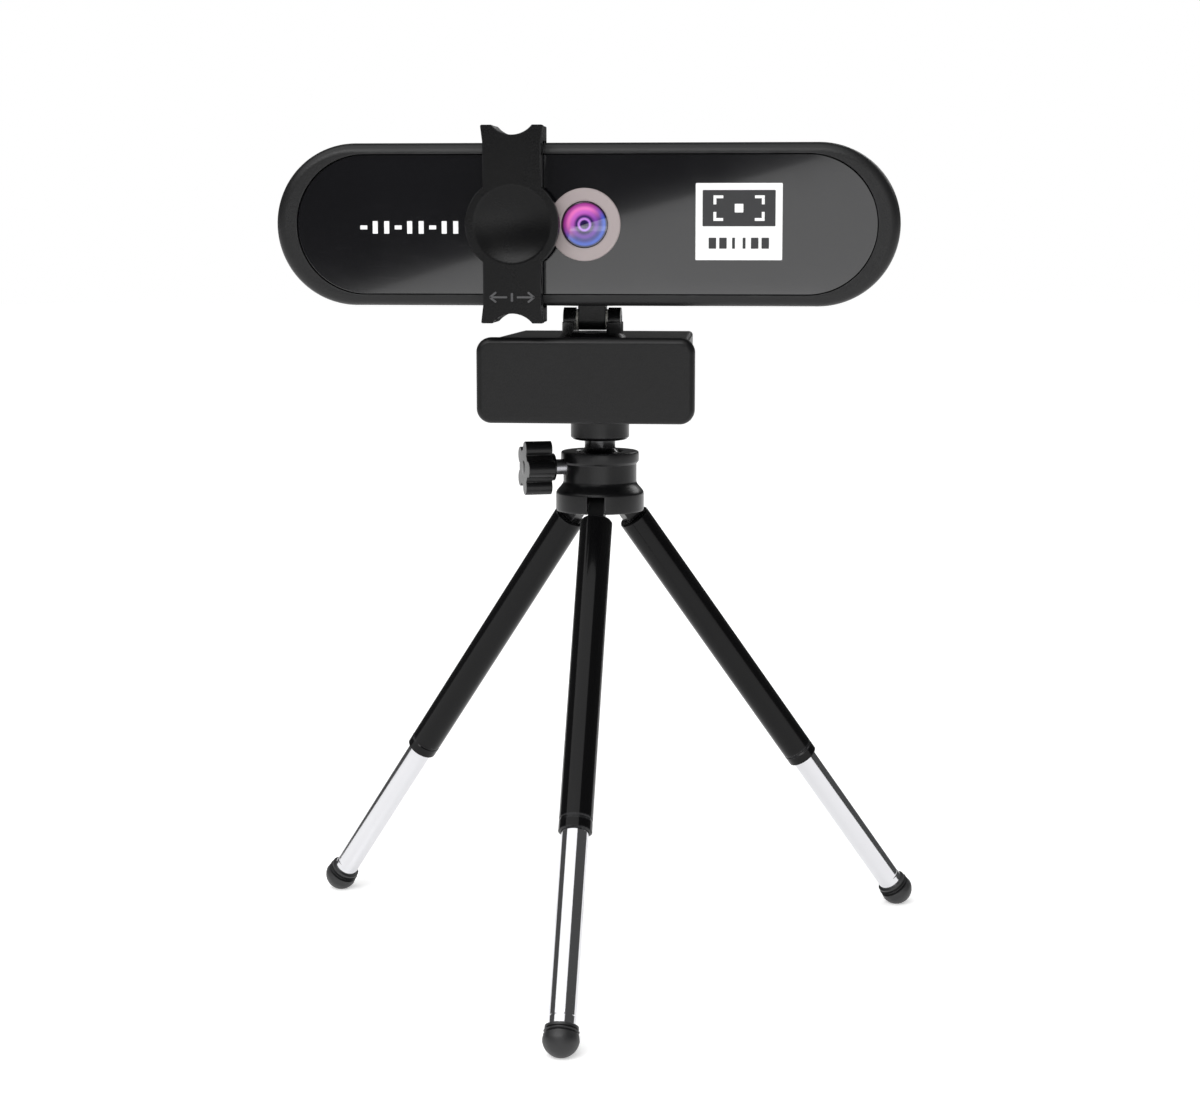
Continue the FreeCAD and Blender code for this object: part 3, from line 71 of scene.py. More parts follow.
TO_FRONT = Matrix.Rotation(math.pi / 2, 4, "X")  # lays +Z, where a plate's face looks, along -Y
LOG = logging.getLogger("webcam_on_tripod")

Colour = tuple[float, float, float]
Piece = bpy.types.Object


class Side(Enum):
    """The three legs, each with its turn about the head's axis."""

    FRONT = ("front", -90.0)
    RIGHT = ("right", 30.0)
    LEFT = ("left", 150.0)

    @property
    def label(self) -> str:
        """The word that the leg's nodes end with."""
        return self.value[0]

    @property
    def turn(self) -> float:
        """The leg's azimuth in radians."""
        return math.radians(self.value[1])


@dataclass(frozen=True)
class Span:
    """The box of a CAD node at rest."""

    low: Vector
    high: Vector

    @classmethod
    def of(cls, node: str) -> "Span":
        """Read the box of one node.

        Args:
            node: The node's name.

        Returns:
            Its box.
        """
        low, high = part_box(node)
        return cls(Vector(low), Vector(high))

    @property
    def centre(self) -> Vector:
        """The middle of the box."""
        return (self.low + self.high) / 2

    @property
    def size(self) -> Vector:
        """The three sides of the box."""
        return self.high - self.low


# Hand tools ----------------------------------------------------------------------------------


def clear_selection() -> None:
    """Deselect everything, so that an operator acts on nothing else."""
    for item in bpy.context.view_layer.objects:
        item.select_set(False)


def take_up(piece: Piece) -> Piece:
    """Make a piece the only selected and active object.

    Args:
        piece: The object to work on.

    Returns:
        The same object.
    """
    clear_selection()
    piece.select_set(True)
    bpy.context.view_layer.objects.active = piece
    return piece


def newest(name: str) -> Piece:
    """Name the object that an add operator has just made.

    Args:
        name: The name to give it.

    Returns:
        The object, with its place baked into its mesh.
    """
    piece = bpy.context.active_object
    piece.name = name
    piece.data.name = name
    return settle(piece)


def settle(piece: Piece) -> Piece:
    """Bake an object's place, turn and scale into its mesh.

    Args:
        piece: The object.

    Returns:
        The same object.
    """
    take_up(piece)
    bpy.ops.object.transform_apply(location=True, rotation=True, scale=True)
    return piece


def place(piece: Piece, matrix: Matrix) -> Piece:
    """Move a piece by a matrix and bake the move in.

    Args:
        piece: The object, at the origin.
        matrix: Where it goes.

    Returns:
        The same object.
    """
    piece.matrix_world = matrix
    return settle(piece)


def edit(piece: Piece, kind: str = "FACE") -> None:
    """Go into edit mode with nothing selected.

    Args:
        piece: The object to edit.
        kind: The select mode: VERT, EDGE or FACE.
    """
    take_up(piece)
    bpy.ops.object.mode_set(mode="EDIT")
    bpy.ops.mesh.select_mode(type=kind)
    bpy.ops.mesh.select_all(action="DESELECT")


def pick(piece: Piece, keep: Callable, kind: str = "FACE") -> None:
    """Select what a test keeps, in edit mode.

    Args:
        piece: The object in edit mode.
        keep: The test, given a bmesh face, edge or vertex.
        kind: What to test: VERT, EDGE or FACE.
    """
    mesh = bmesh.from_edit_mesh(piece.data)
    items = {"VERT": mesh.verts, "EDGE": mesh.edges, "FACE": mesh.faces}[kind]
    mesh.normal_update()
    for item in items:
        if keep(item):
            item.select_set(True)
    mesh.select_flush_mode()
    bmesh.update_edit_mesh(piece.data)


def leave_edit(piece: Piece, merge: float = NEAR) -> Piece:
    """Merge doubles, drop loose edges, point the faces outwards and go back to object mode.

    Args:
        piece: The object in edit mode.
        merge: How close two vertices are to be one.

    Returns:
        The same object.
    """
    bpy.ops.mesh.select_all(action="SELECT")
    bpy.ops.mesh.remove_doubles(threshold=merge)
    bpy.ops.mesh.delete_loose(use_verts=True, use_edges=True, use_faces=False)
    bpy.ops.mesh.select_all(action="SELECT")
    bpy.ops.mesh.normals_make_consistent(inside=False)
    bpy.ops.object.mode_set(mode="OBJECT")
    return piece


def at_depth(level: float) -> Callable:
    """A test for edges that lie in one plane square to Y, at a level."""
    return lambda edge: all(abs(vert.co.y - level) < NEAR for vert in edge.verts)


def round_at(piece: Piece, level: float, width: float, segments: int) -> Piece:
    """Round the edges of a piece that lie in one plane square to Y.

    Args:
        piece: The object.
        level: Where the plane is.
        width: How wide the rounding is.
        segments: How many faces it has.

    Returns:
        The same object.
    """
    edit(piece, "EDGE")
    pick(piece, at_depth(level), "EDGE")
    bpy.ops.mesh.bevel(offset=width, segments=segments, affect="EDGES")
    return leave_edit(piece)


def rod(name: str, radius: float, start: Sequence[float], end: Sequence[float], sides: int = 64) -> Piece:
    """A cylinder between two points.

    Args:
        name: The object's name.
        radius: The cylinder's radius.
        start: The middle of one end.
        end: The middle of the other.
        sides: How many sides it has.

    Returns:
        The cylinder.
    """
    low, high = Vector(start), Vector(end)
    clear_selection()
    way = high - low
    turn = way.to_track_quat("Z", "Y").to_euler()
    bpy.ops.mesh.primitive_cylinder_add(
        vertices=sides, radius=radius, depth=way.length, location=(low + high) / 2, rotation=turn
    )
    return newest(name)


def block(name: str, low: Sequence[float], high: Sequence[float]) -> Piece:
    """A box between two corners.

    Args:
        name: The object's name.
        low: Its lowest corner.
        high: Its highest corner.

    Returns:
        The box.
    """
    first, last = Vector(low), Vector(high)
    clear_selection()
    bpy.ops.mesh.primitive_cube_add(size=1, location=(first + last) / 2)
    bpy.context.active_object.scale = last - first
    return newest(name)


def plate(
    name: str,
    width: float,
    height: float,
    depth: float,
    corner: float,
    centre: Sequence[float],
    steps: int = 24,
) -> Piece:
    """A plate with round corners that faces forwards, with its back at the given centre.

    Args:
        name: The object's name.
        width: Its width.
        height: Its height.
        depth: Its thickness.
        corner: The radius of its corners.
        centre: The middle of its back.
        steps: The segments of each corner.

    Returns:
        The plate.
    """
    clear_selection()
    bpy.ops.mesh.primitive_plane_add(size=1)
    bpy.context.active_object.scale = (width, height, 1)
    piece = newest(name)
    edit(piece, "VERT")
    bpy.ops.mesh.select_all(action="SELECT")
    limit = min(width, height) / 2 * 0.9999
    bpy.ops.mesh.bevel(offset=min(corner, limit), segments=steps, affect="VERTICES")
    bpy.ops.mesh.select_all(action="SELECT")
    bpy.ops.mesh.remove_doubles(threshold=limit * 0.0005)
    bpy.ops.mesh.select_all(action="SELECT")
    bpy.ops.mesh.extrude_region_move(TRANSFORM_OT_translate={"value": (0, 0, depth)})
    leave_edit(piece)
    return place(piece, Matrix.Translation(Vector(centre)) @ TO_FRONT)


def lathe(name: str, profile: Sequence[tuple[float, float]], sides: int = 72) -> Piece:
    """A turned solid about the Z axis, drawn ring by ring from one end to the other.

    Args:
        name: The object's name.
        profile: Radius and height of each ring. A first or last radius of 0 closes that end
            in a point, and a profile that ends where it starts makes a ring.
        sides: How many sides it has.

    Returns:
        The solid.
    """
    clear_selection()
    first = max(profile[0][0], 1e-7)
    bpy.ops.mesh.primitive_circle_add(vertices=sides, radius=first, location=(0, 0, profile[0][1]))
    piece = newest(name)
    edit(piece, "EDGE")
    bpy.ops.mesh.select_all(action="SELECT")
    radius, height = first, profile[0][1]
    for next_radius, next_height in profile[1:]:
        goal = max(next_radius, 1e-7)
        bpy.ops.mesh.extrude_region_move(TRANSFORM_OT_translate={"value": (0, 0, next_height - height)})
        ratio = goal / radius
        bpy.ops.transform.resize(value=(ratio, ratio, 1), center_override=(0, 0, next_height))
        radius, height = goal, next_height
    return leave_edit(piece)


def along(start: Sequence[float], end: Sequence[float]) -> Matrix:
    """The matrix that lays the Z axis from one point towards another.

    Args:
        start: Where the origin goes.
        end: What +Z points at.

    Returns:
        The matrix.
    """
    low = Vector(start)
    turn = (Vector(end) - low).to_track_quat("Z", "Y").to_matrix().to_4x4()
    return Matrix.Translation(low) @ turn


def apply_all(piece: Piece) -> Piece:
    """Apply a piece's modifiers in order.

    Args:
        piece: The object.

    Returns:
        The same object.
    """
    take_up(piece)
    for name in [item.name for item in piece.modifiers]:
        bpy.ops.object.modifier_apply(modifier=name)
    return piece


def soften(piece: Piece, width: float, segments: int = 3, angle: float = 35.0) -> Piece:
    """Round a piece's sharp edges.

    Args:
        piece: The object.
        width: How wide the rounding is.
        segments: How many faces it has.
        angle: The sharpest angle, in degrees, that stays as it is.

    Returns:
        The same object.
    """
    tool = piece.modifiers.new("soften", "BEVEL")
    tool.width = width
    tool.segments = segments
    tool.limit_method = "ANGLE"
    tool.angle_limit = math.radians(angle)
    tool.use_clamp_overlap = True
    tool.harden_normals = False
    return apply_all(piece)


def carve(piece: Piece, operation: str, *tools: Piece) -> Piece:
    """Add, take away or intersect solids and remove the tools.

    Args:
        piece: The object to change.
        operation: UNION, DIFFERENCE or INTERSECT.
        tools: The other solids.

    Returns:
        The same object.
    """
    for tool in tools:
        step = piece.modifiers.new("carve", "BOOLEAN")
        step.operation = operation
        step.solver = "EXACT"
        step.object = tool
        apply_all(piece)
        bpy.data.objects.remove(tool, do_unlink=True)
    return piece


def together(name: str, pieces: Iterable[Piece]) -> Piece:
    """Join several objects into one.

    Args:
        name: The name of the result.
        pieces: The objects.

    Returns:
        The joined object.
    """
    items = list(pieces)
    take_up(items[0])
    for item in items[1:]:
        item.select_set(True)
    if len(items) > 1:
        bpy.ops.object.join()
    items[0].name = name
    items[0].data.name = name
    return items[0]


def copy_of(node: str, name: str, width: float, segments: int = 2, angle: float = 40.0) -> Piece:
    """A copy of a CAD node with its doubles merged, its flats made whole and its edges rounded.

    Args:
        node: The CAD node.
        name: The name of the copy.
        width: How wide the rounding is.
        segments: How many faces the rounding has.
        angle: The sharpest angle, in degrees, that stays as it is.

    Returns:
        The copy.
    """
    source = bpy.data.objects[node]
    piece = bpy.data.objects.new(name, source.data.copy())
    piece.data.name = name
    piece.data.materials.clear()
    bpy.context.scene.collection.objects.link(piece)
    edit(piece, "VERT")
    bpy.ops.mesh.select_all(action="SELECT")
    bpy.ops.mesh.remove_doubles(threshold=2 * NEAR)
    bpy.ops.mesh.dissolve_limited(angle_limit=math.radians(1.0))
    bpy.ops.object.mode_set(mode="OBJECT")
    return soften(piece, width, segments, angle)


# Finishes ------------------------------------------------------------------------------------


class Effect:
    """A shader node group that several finishes share."""

    def __init__(self, name: str, inputs: dict[str, float], outputs: Sequence[str]) -> None:
        """Start the group with a vector input, its values and its float outputs.

        Args:
            name: The group's name.
            inputs: The value inputs with what each starts at.
            outputs: The names of the outputs.
        """
        self.tree = bpy.data.node_groups.new(name, "ShaderNodeTree")
        self.tree.interface.new_socket("Vector", in_out="INPUT", socket_type="NodeSocketVector")
        for title, start in inputs.items():
            made = self.tree.interface.new_socket(title, in_out="INPUT", socket_type="NodeSocketFloat")
            made.default_value = start
        for title in outputs:
            self.tree.interface.new_socket(title, in_out="OUTPUT", socket_type="NodeSocketFloat")
        self.start = self.tree.nodes.new("NodeGroupInput")
        self.end = self.tree.nodes.new("NodeGroupOutput")

    def node(self, kind: str, **fields: object) -> bpy.types.Node:
        """Add a node and set its fields."""
        return add_node(self.tree, kind, **fields)

    def link(self, source: bpy.types.NodeSocket, target: bpy.types.NodeSocket) -> None:
        """Join two sockets."""
        self.tree.links.new(source, target)

    def spread(self, source: bpy.types.NodeSocket, low: float, high: float) -> bpy.types.NodeSocket:
        """Spread a range of a value over 0 to 1.

        Args:
            source: The value.
            low: What becomes 0.
            high: What becomes 1.

        Returns:
            The socket with the result.
        """
        node = feed(self.node("MapRange", clamp=True), From_Min=low, From_Max=high)
        self.link(source, node.inputs["Value"])
        return node.outputs["Result"]


def add_node(tree: bpy.types.NodeTree, kind: str, **fields: object) -> bpy.types.Node:
    """Add a node to a tree.

    Args:
        tree: The node tree.
        kind: The node's type, without the ShaderNode it starts with.
        fields: Its own settings.

    Returns:
        The node.
    """
    node = tree.nodes.new(f"ShaderNode{kind}")
    for field, value in fields.items():
        setattr(node, field, value)
    return node


def feed(node: bpy.types.Node, **values: object) -> bpy.types.Node:
    """Set a node's inputs by name.

    Args:
        node: The node.
        values: The inputs, with _ for a space.

    Returns:
        The same node.
    """
    for title, value in values.items():
        node.inputs[title.replace("_", " ")].default_value = value
    return node


def make_grain() -> Effect:
    """The fine spark-eroded texture of moulded plastic.

    Returns:
        The group, with the outputs Height and Patch.
    """
    effect = Effect("FineGrain", {"Scale": 3000.0, "Patch Scale": 60.0}, ("Height", "Patch"))
    fine = feed(effect.node("TexNoise"), Detail=3.0, Roughness=0.65)
    cells = feed(effect.node("TexVoronoi"), Randomness=1.0)
    patch = feed(effect.node("TexNoise"), Detail=4.0)
    for target, scale in ((fine, "Scale"), (cells, "Scale"), (patch, "Patch Scale")):
        effect.link(effect.start.outputs["Vector"], target.inputs["Vector"])
        effect.link(effect.start.outputs[scale], target.inputs["Scale"])
    mix = effect.node("Math", operation="MULTIPLY_ADD")
    mix.inputs[1].default_value = 0.6
    effect.link(cells.outputs["Distance"], mix.inputs[0])
    effect.link(fine.outputs["Fac"], mix.inputs[2])
    effect.link(mix.outputs[0], effect.end.inputs["Height"])
    effect.link(patch.outputs["Fac"], effect.end.inputs["Patch"])
    return effect


def make_wear() -> Effect:
    """Where an edge has been rubbed: bright on corners, broken up by noise.

    Returns:
        The group, with the output Mask.
    """
    effect = Effect("WornEdge", {"Width": 0.4 * MM, "Break Up": 300.0}, ("Mask",))
    bevel = effect.node("Bevel", samples=4)
    effect.link(effect.start.outputs["Width"], bevel.inputs["Radius"])
    dot = effect.node("VectorMath", operation="DOT_PRODUCT")
    effect.link(bevel.outputs["Normal"], dot.inputs[0])
    effect.link(effect.node("NewGeometry").outputs["Normal"], dot.inputs[1])
    noise = feed(effect.node("TexNoise"), Detail=5.0)
    effect.link(effect.start.outputs["Vector"], noise.inputs["Vector"])
    effect.link(effect.start.outputs["Break Up"], noise.inputs["Scale"])
    both = effect.node("Math", operation="MULTIPLY", use_clamp=True)
    effect.link(effect.spread(dot.outputs["Value"], 0.995, 0.86), both.inputs[0])
    effect.link(effect.spread(noise.outputs["Fac"], 0.4, 0.62), both.inputs[1])
    effect.link(both.outputs[0], effect.end.inputs["Mask"])
    return effect


def make_smudges() -> Effect:
    """Faint finger marks, dust specks and hairline scratches on a polished face.

    Returns:
        The group, with the outputs Smear, Dust and Scratch.
    """
    effect = Effect("Smudges", {"Scale": 45.0}, ("Smear", "Dust", "Scratch"))
    smear = feed(effect.node("TexNoise"), Detail=6.0, Distortion=0.6)
    dust = feed(effect.node("TexVoronoi"), Scale=900.0)
    stretch = feed(effect.node("Mapping"), Scale=(1.0, 1.0, 14.0), Rotation=(0.0, 0.5, 0.0))
    scratch = feed(effect.node("TexNoise"), Scale=160.0, Detail=2.0)
    for target in (smear, dust, stretch):
        effect.link(effect.start.outputs["Vector"], target.inputs["Vector"])
    effect.link(stretch.outputs["Vector"], scratch.inputs["Vector"])
    effect.link(effect.start.outputs["Scale"], smear.inputs["Scale"])
    for source, low, high, title in (
        (smear.outputs["Fac"], 0.45, 0.75, "Smear"),
        (dust.outputs["Distance"], 0.07, 0.02, "Dust"),
        (scratch.outputs["Fac"], 0.66, 0.72, "Scratch"),
    ):
        effect.link(effect.spread(source, low, high), effect.end.inputs[title])
    return effect


@dataclass(frozen=True)
class Finish:
    """One finish: its base, how it shines, its grain and how it wears."""

    name: str
    colour: Colour
    roughness: float
    worn: Colour = (0.12, 0.12, 0.12)
    metallic: float = 0.0
    specular: float = 0.5
    grain: float = 2600.0
    bump: float = 0.12
    wear: float = 0.5
    tint: float = 0.18
    coat: float = 0.0
    coat_roughness: float = 0.08
    smudge: float = 0.0
    spread: float = 0.12

    def make(self) -> bpy.types.Material:
        """Build the material.

        Returns:
            The material, or the one already made under this name.
        """
        label = f"finish_{self.name}"
        if label in bpy.data.materials:
            return bpy.data.materials[label]
        material = bpy.data.materials.new(label)
        material.use_nodes = True
        material.diffuse_color = (*self.colour, 1.0)
        tree = material.node_tree
        shader = feed(
            tree.nodes["Principled BSDF"],
            Metallic=self.metallic,
            Specular_IOR_Level=self.specular,
            Coat_Weight=self.coat,
            Coat_Roughness=self.coat_roughness,
        )
        self.dress(tree, shader)
        return material

    def dress(self, tree: bpy.types.NodeTree, shader: bpy.types.Node) -> None:
        """Feed the shader its colour, roughness and bump.

        Args:
            tree: The material's node tree.
            shader: Its Principled BSDF.
        """
        place_on = add_node(tree, "TexCoord").outputs["Object"]
        grain = group_node(tree, "FineGrain", place_on, Scale=self.grain)
        wear = group_node(tree, "WornEdge", place_on)
        worn = add_node(tree, "Math", operation="MULTIPLY")
        worn.inputs[1].default_value = self.wear
        tree.links.new(wear.outputs["Mask"], worn.inputs[0])
        patch = feed(add_node(tree, "MapRange"), To_Min=1.0 - self.tint, To_Max=1.0 + self.tint)
        tree.links.new(grain.outputs["Patch"], patch.inputs["Value"])
        shade = add_node(tree, "VectorMath", operation="SCALE")
        shade.inputs[0].default_value = self.colour
        tree.links.new(patch.outputs["Result"], shade.inputs["Scale"])
        mix = add_node(tree, "Mix", data_type="RGBA")
        tree.links.new(worn.outputs[0], mix.inputs["Factor"])
        tree.links.new(shade.outputs["Vector"], mix.inputs[6])
        mix.inputs[7].default_value = (*self.worn, 1.0)
        tree.links.new(mix.outputs[2], shader.inputs["Base Color"])
        smooth, dull = max(self.roughness - self.spread, 0.03), min(self.roughness + self.spread, 1.0)
        rough = feed(add_node(tree, "MapRange"), To_Min=smooth, To_Max=dull)
        tree.links.new(grain.outputs["Patch"], rough.inputs["Value"])
        gloss = rough.outputs["Result"]
        if self.smudge:
            smudges = group_node(tree, "Smudges", place_on)
            for title, strength in (("Smear", 1.0), ("Dust", 2.5), ("Scratch", 0.7)):
                step = add_node(tree, "Math", operation="MULTIPLY_ADD", use_clamp=True)
                step.inputs[1].default_value = self.smudge * strength
                tree.links.new(smudges.outputs[title], step.inputs[0])
                tree.links.new(gloss, step.inputs[2])
                gloss = step.outputs[0]
        tree.links.new(gloss, shader.inputs["Roughness"])
        bump = feed(add_node(tree, "Bump"), Strength=self.bump, Distance=0.1 * MM)
        tree.links.new(grain.outputs["Height"], bump.inputs["Height"])
        tree.links.new(bump.outputs["Normal"], shader.inputs["Normal"])


def group_node(
    tree: bpy.types.NodeTree, name: str, vector: bpy.types.NodeSocket, **values: float
) -> bpy.types.Node:
    """Place a shared effect in a material.

    Args:
        tree: The material's node tree.
        name: The effect's name.
        vector: The coordinates it reads.
        values: Its inputs, with _ for a space.

    Returns:
        The group node.
    """
    node = feed(add_node(tree, "Group", node_tree=bpy.data.node_groups[name]), **values)
    tree.links.new(vector, node.inputs["Vector"])
    return node


SOFT_EDGE = (0.05, 0.05, 0.052)
CASE = Finish("moulded_case", (0.009, 0.009, 0.0094), 0.40, SOFT_EDGE, specular=0.3, bump=0.24)
CLIP = Finish("satin_clip", (0.006, 0.006, 0.0063), 0.36, SOFT_EDGE, specular=0.24, bump=0.18, grain=3200.0)
COVER = Finish(
    "cover_plastic", (0.004, 0.004, 0.0042), 0.27, SOFT_EDGE, specular=0.15, bump=0.14, wear=0.4, grain=3400.0
)
CARRIAGE = Finish("carriage_plastic", (0.005, 0.005, 0.0055), 0.42, SOFT_EDGE, specular=0.3, bump=0.14, wear=0.2)
PANEL = Finish(
    "gloss_panel", (0.004, 0.004, 0.005), 0.06, (0.02, 0.02, 0.02), bump=0.0, wear=0.1, smudge=0.03,
    spread=0.02, coat=0.4, coat_roughness=0.03,
)
RING = Finish("ring_print", (0.34, 0.29, 0.29), 0.38, (0.5, 0.45, 0.45), bump=0.08, wear=0.2, tint=0.05)
WHITE_INK = Finish("white_ink", (0.86, 0.86, 0.86), 0.42, (0.9, 0.9, 0.9), bump=0.06, wear=0.1, tint=0.03)
DARK_INK = Finish("dark_ink", (0.016, 0.016, 0.018), 0.30, bump=0.06, wear=0.0, tint=0.06)
RELIEF = Finish("relief_plastic", (0.055, 0.055, 0.058), 0.38, bump=0.1, wear=0.2)
RUBBER = Finish("grip_rubber", (0.014, 0.014, 0.014), 0.72, (0.05, 0.05, 0.05), bump=0.4, wear=0.3, grain=1500.0)
FOOT_RUBBER = Finish("foot_rubber", (0.012, 0.012, 0.013), 0.46, (0.05, 0.05, 0.05), bump=0.2, wear=0.4)
BLACK_METAL = Finish(
    "satin_black_metal", (0.005, 0.005, 0.0055), 0.32, (0.16, 0.16, 0.165), specular=0.28, bump=0.1, wear=0.35,
    coat=0.08,
)
BLACK_PLASTIC = Finish(
    "satin_black_plastic", (0.006, 0.006, 0.0065), 0.28, specular=0.28, bump=0.1, wear=0.3, coat=0.08
)
LEG_PAINT = Finish(
    "gloss_leg_paint", (0.003, 0.003, 0.0033), 0.14, (0.2, 0.2, 0.21), specular=0.16, bump=0.03, wear=0.25,
    coat=0.06, coat_roughness=0.05, smudge=0.02, spread=0.04,
)
CHROME = Finish(
    "polished_chrome", (0.66, 0.66, 0.68), 0.08, (0.9, 0.9, 0.9), metallic=1.0, bump=0.02, wear=0.1,
    tint=0.03, smudge=0.04, spread=0.04,
)
BLACKENED = Finish(
    "blackened_ball", (0.035, 0.035, 0.037), 0.2, (0.3, 0.3, 0.3), metallic=0.8, bump=0.04, wear=0.2, coat=0.3
)
STEEL = Finish("screw_steel", (0.42, 0.42, 0.44), 0.3, (0.7, 0.7, 0.7), metallic=1.0, bump=0.1, tint=0.08)
DARK_STEEL = Finish("black_screw", (0.05, 0.05, 0.052), 0.34, (0.3, 0.3, 0.3), metallic=0.9, bump=0.1)
NYLON = Finish("nylon_bush", (0.55, 0.54, 0.5), 0.45, (0.6, 0.6, 0.58), bump=0.1, wear=0.1)
BRASS = Finish("insert_brass", (0.62, 0.44, 0.18), 0.26, (0.8, 0.62, 0.3), metallic=1.0, bump=0.1, tint=0.1)
BOARD = Finish("board_green", (0.01, 0.09, 0.03), 0.4, (0.3, 0.25, 0.1), bump=0.1, wear=0.2)
CHIP = Finish("chip_black", (0.015, 0.015, 0.016), 0.55, bump=0.3, wear=0.1)


# How far out from the pupil each painted colour of the lens lies, on its two sides: painted reflections of the
# coatings in rings round a painted dark pupil, where the lens's inside lies in shade.
BLUE_PAINTED_REFLECTION = (
    (0.0, (0.004, 0.002, 0.02)), (0.16, (0.01, 0.005, 0.06)), (0.24, (0.30, 0.14, 0.55)),
    (0.34, (0.01, 0.006, 0.05)), (0.52, (0.10, 0.03, 0.26)), (0.68, (0.02, 0.02, 0.16)),
    (0.86, (0.03, 0.08, 0.40)), (0.97, (0.003, 0.004, 0.02)),
)
PINK_PAINTED_REFLECTION = (
    (0.0, (0.004, 0.002, 0.02)), (0.16, (0.02, 0.004, 0.06)), (0.24, (0.5, 0.2, 0.6)),
    (0.34, (0.04, 0.01, 0.10)), (0.52, (0.42, 0.09, 0.42)), (0.7, (0.62, 0.14, 0.42)),
    (0.86, (0.30, 0.04, 0.24)), (0.97, (0.02, 0.004, 0.02)),
)


@dataclass(frozen=True)
class CoatedGlass(Finish):
    """The lens: a dark dome with painted reflections of its coatings in violet, magenta and blue round a painted
    dark pupil, and a painted glow.
    """

    centre: tuple[float, float, float] = (0.0, 0.0, 0.0)
    radius: float = 0.004

    def dress(self, tree: bpy.types.NodeTree, shader: bpy.types.Node) -> None:
        """Paint the dome's reflections by its distance from the middle and the side it faces, and let them glow.

        Args:
            tree: The material's node tree.
            shader: Its Principled BSDF.
        """
        where = add_node(tree, "Mapping", vector_type="TEXTURE")
        feed(where, Location=self.centre, Scale=(self.radius, 1.0, self.radius))
        tree.links.new(add_node(tree, "TexCoord").outputs["Object"], where.inputs["Vector"])
        flat = add_node(tree, "VectorMath", operation="MULTIPLY")
        flat.inputs[1].default_value = (1.0, 0.0, 1.0)
        tree.links.new(where.outputs["Vector"], flat.inputs[0])
        reach = add_node(tree, "VectorMath", operation="LENGTH")
        tree.links.new(flat.outputs["Vector"], reach.inputs[0])
        painted_reflection_ramps = []
        for stops in (BLUE_PAINTED_REFLECTION, PINK_PAINTED_REFLECTION):
            ramp = add_node(tree, "ValToRGB")
            ramp.color_ramp.interpolation = "EASE"
            for spot, _ in stops[1:-1]:
                ramp.color_ramp.elements.new(spot)
            for element, (spot, colour) in zip(ramp.color_ramp.elements, stops):
                element.position = spot
                element.color = (*colour, 1.0)
            tree.links.new(reach.outputs["Value"], ramp.inputs["Fac"])
            painted_reflection_ramps.append(ramp)
        # Painted lighting: the upper left of the dome takes the pink painted reflection, the lower right the
        # blue.
        side = add_node(tree, "VectorMath", operation="DOT_PRODUCT")
        side.inputs[1].default_value = (-0.55, 0.0, 0.84)
        tree.links.new(where.outputs["Vector"], side.inputs[0])
        lit_side_blend = add_node(tree, "MapRange", clamp=True, interpolation_type="SMOOTHSTEP")
        feed(lit_side_blend, From_Min=-0.35, From_Max=0.55)
        tree.links.new(side.outputs["Value"], lit_side_blend.inputs["Value"])
        mix = add_node(tree, "Mix", data_type="RGBA")
        tree.links.new(lit_side_blend.outputs["Result"], mix.inputs["Factor"])
        tree.links.new(painted_reflection_ramps[0].outputs["Color"], mix.inputs[6])
        tree.links.new(painted_reflection_ramps[1].outputs["Color"], mix.inputs[7])
        tree.links.new(mix.outputs[2], shader.inputs["Base Color"])
        # Painted glow: the same painted colours feed the emission, so the lens glows though it is no lamp.
        tree.links.new(mix.outputs[2], shader.inputs["Emission Color"])
        feed(shader, Emission_Strength=0.35, Roughness=self.roughness)


def dress(piece: Piece, finish: Finish, slot: str, body: str, *nodes: str, angle: float = 32.0) -> Piece:
    """Give a finished piece its smoothing, finish and body, and hide the CAD nodes it stands for.

    Args:
        piece: The object.
        finish: Its finish.
        slot: The record's material slot; not used.
        body: The body that it rides on.
        nodes: The CAD nodes it replaces.
        angle: The sharpest angle, in degrees, that is smoothed over.

    Returns:
        The same object.
    """
    edit(piece)
    leave_edit(piece)
    bpy.ops.object.shade_smooth_by_angle(angle=math.radians(angle))
    flats = piece.modifiers.new("flats", "WEIGHTED_NORMAL")
    flats.mode = "FACE_AREA"
    flats.weight = 100
    flats.keep_sharp = True
    apply_all(piece)
    piece.data.materials.clear()
    piece.data.materials.append(finish.make())
    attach(piece, body)
    if nodes:
        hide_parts(*nodes)
    LOG.info("%s: %d faces on %s", piece.name, len(piece.data.polygons), body)
    return piece


def keep_node(name: str, finish: Finish) -> None:
    """Give a CAD node that stays a better finish.

    Args:
        name: The node.
        finish: Its finish.
    """
    node = bpy.data.objects[name]
    material = finish.make()
    if not node.material_slots:
        node.data.materials.append(material)
    for held in node.material_slots:
        held.material = material
    LOG.info("%s stays, in %s", name, finish.name)


# Tripod --------------------------------------------------------------------------------------


def joint_row(name: str) -> dict:
    """The record's row for one joint."""
    return next(row for row in frame["record"]["behaviour"]["joints"] if row["name"] == name)


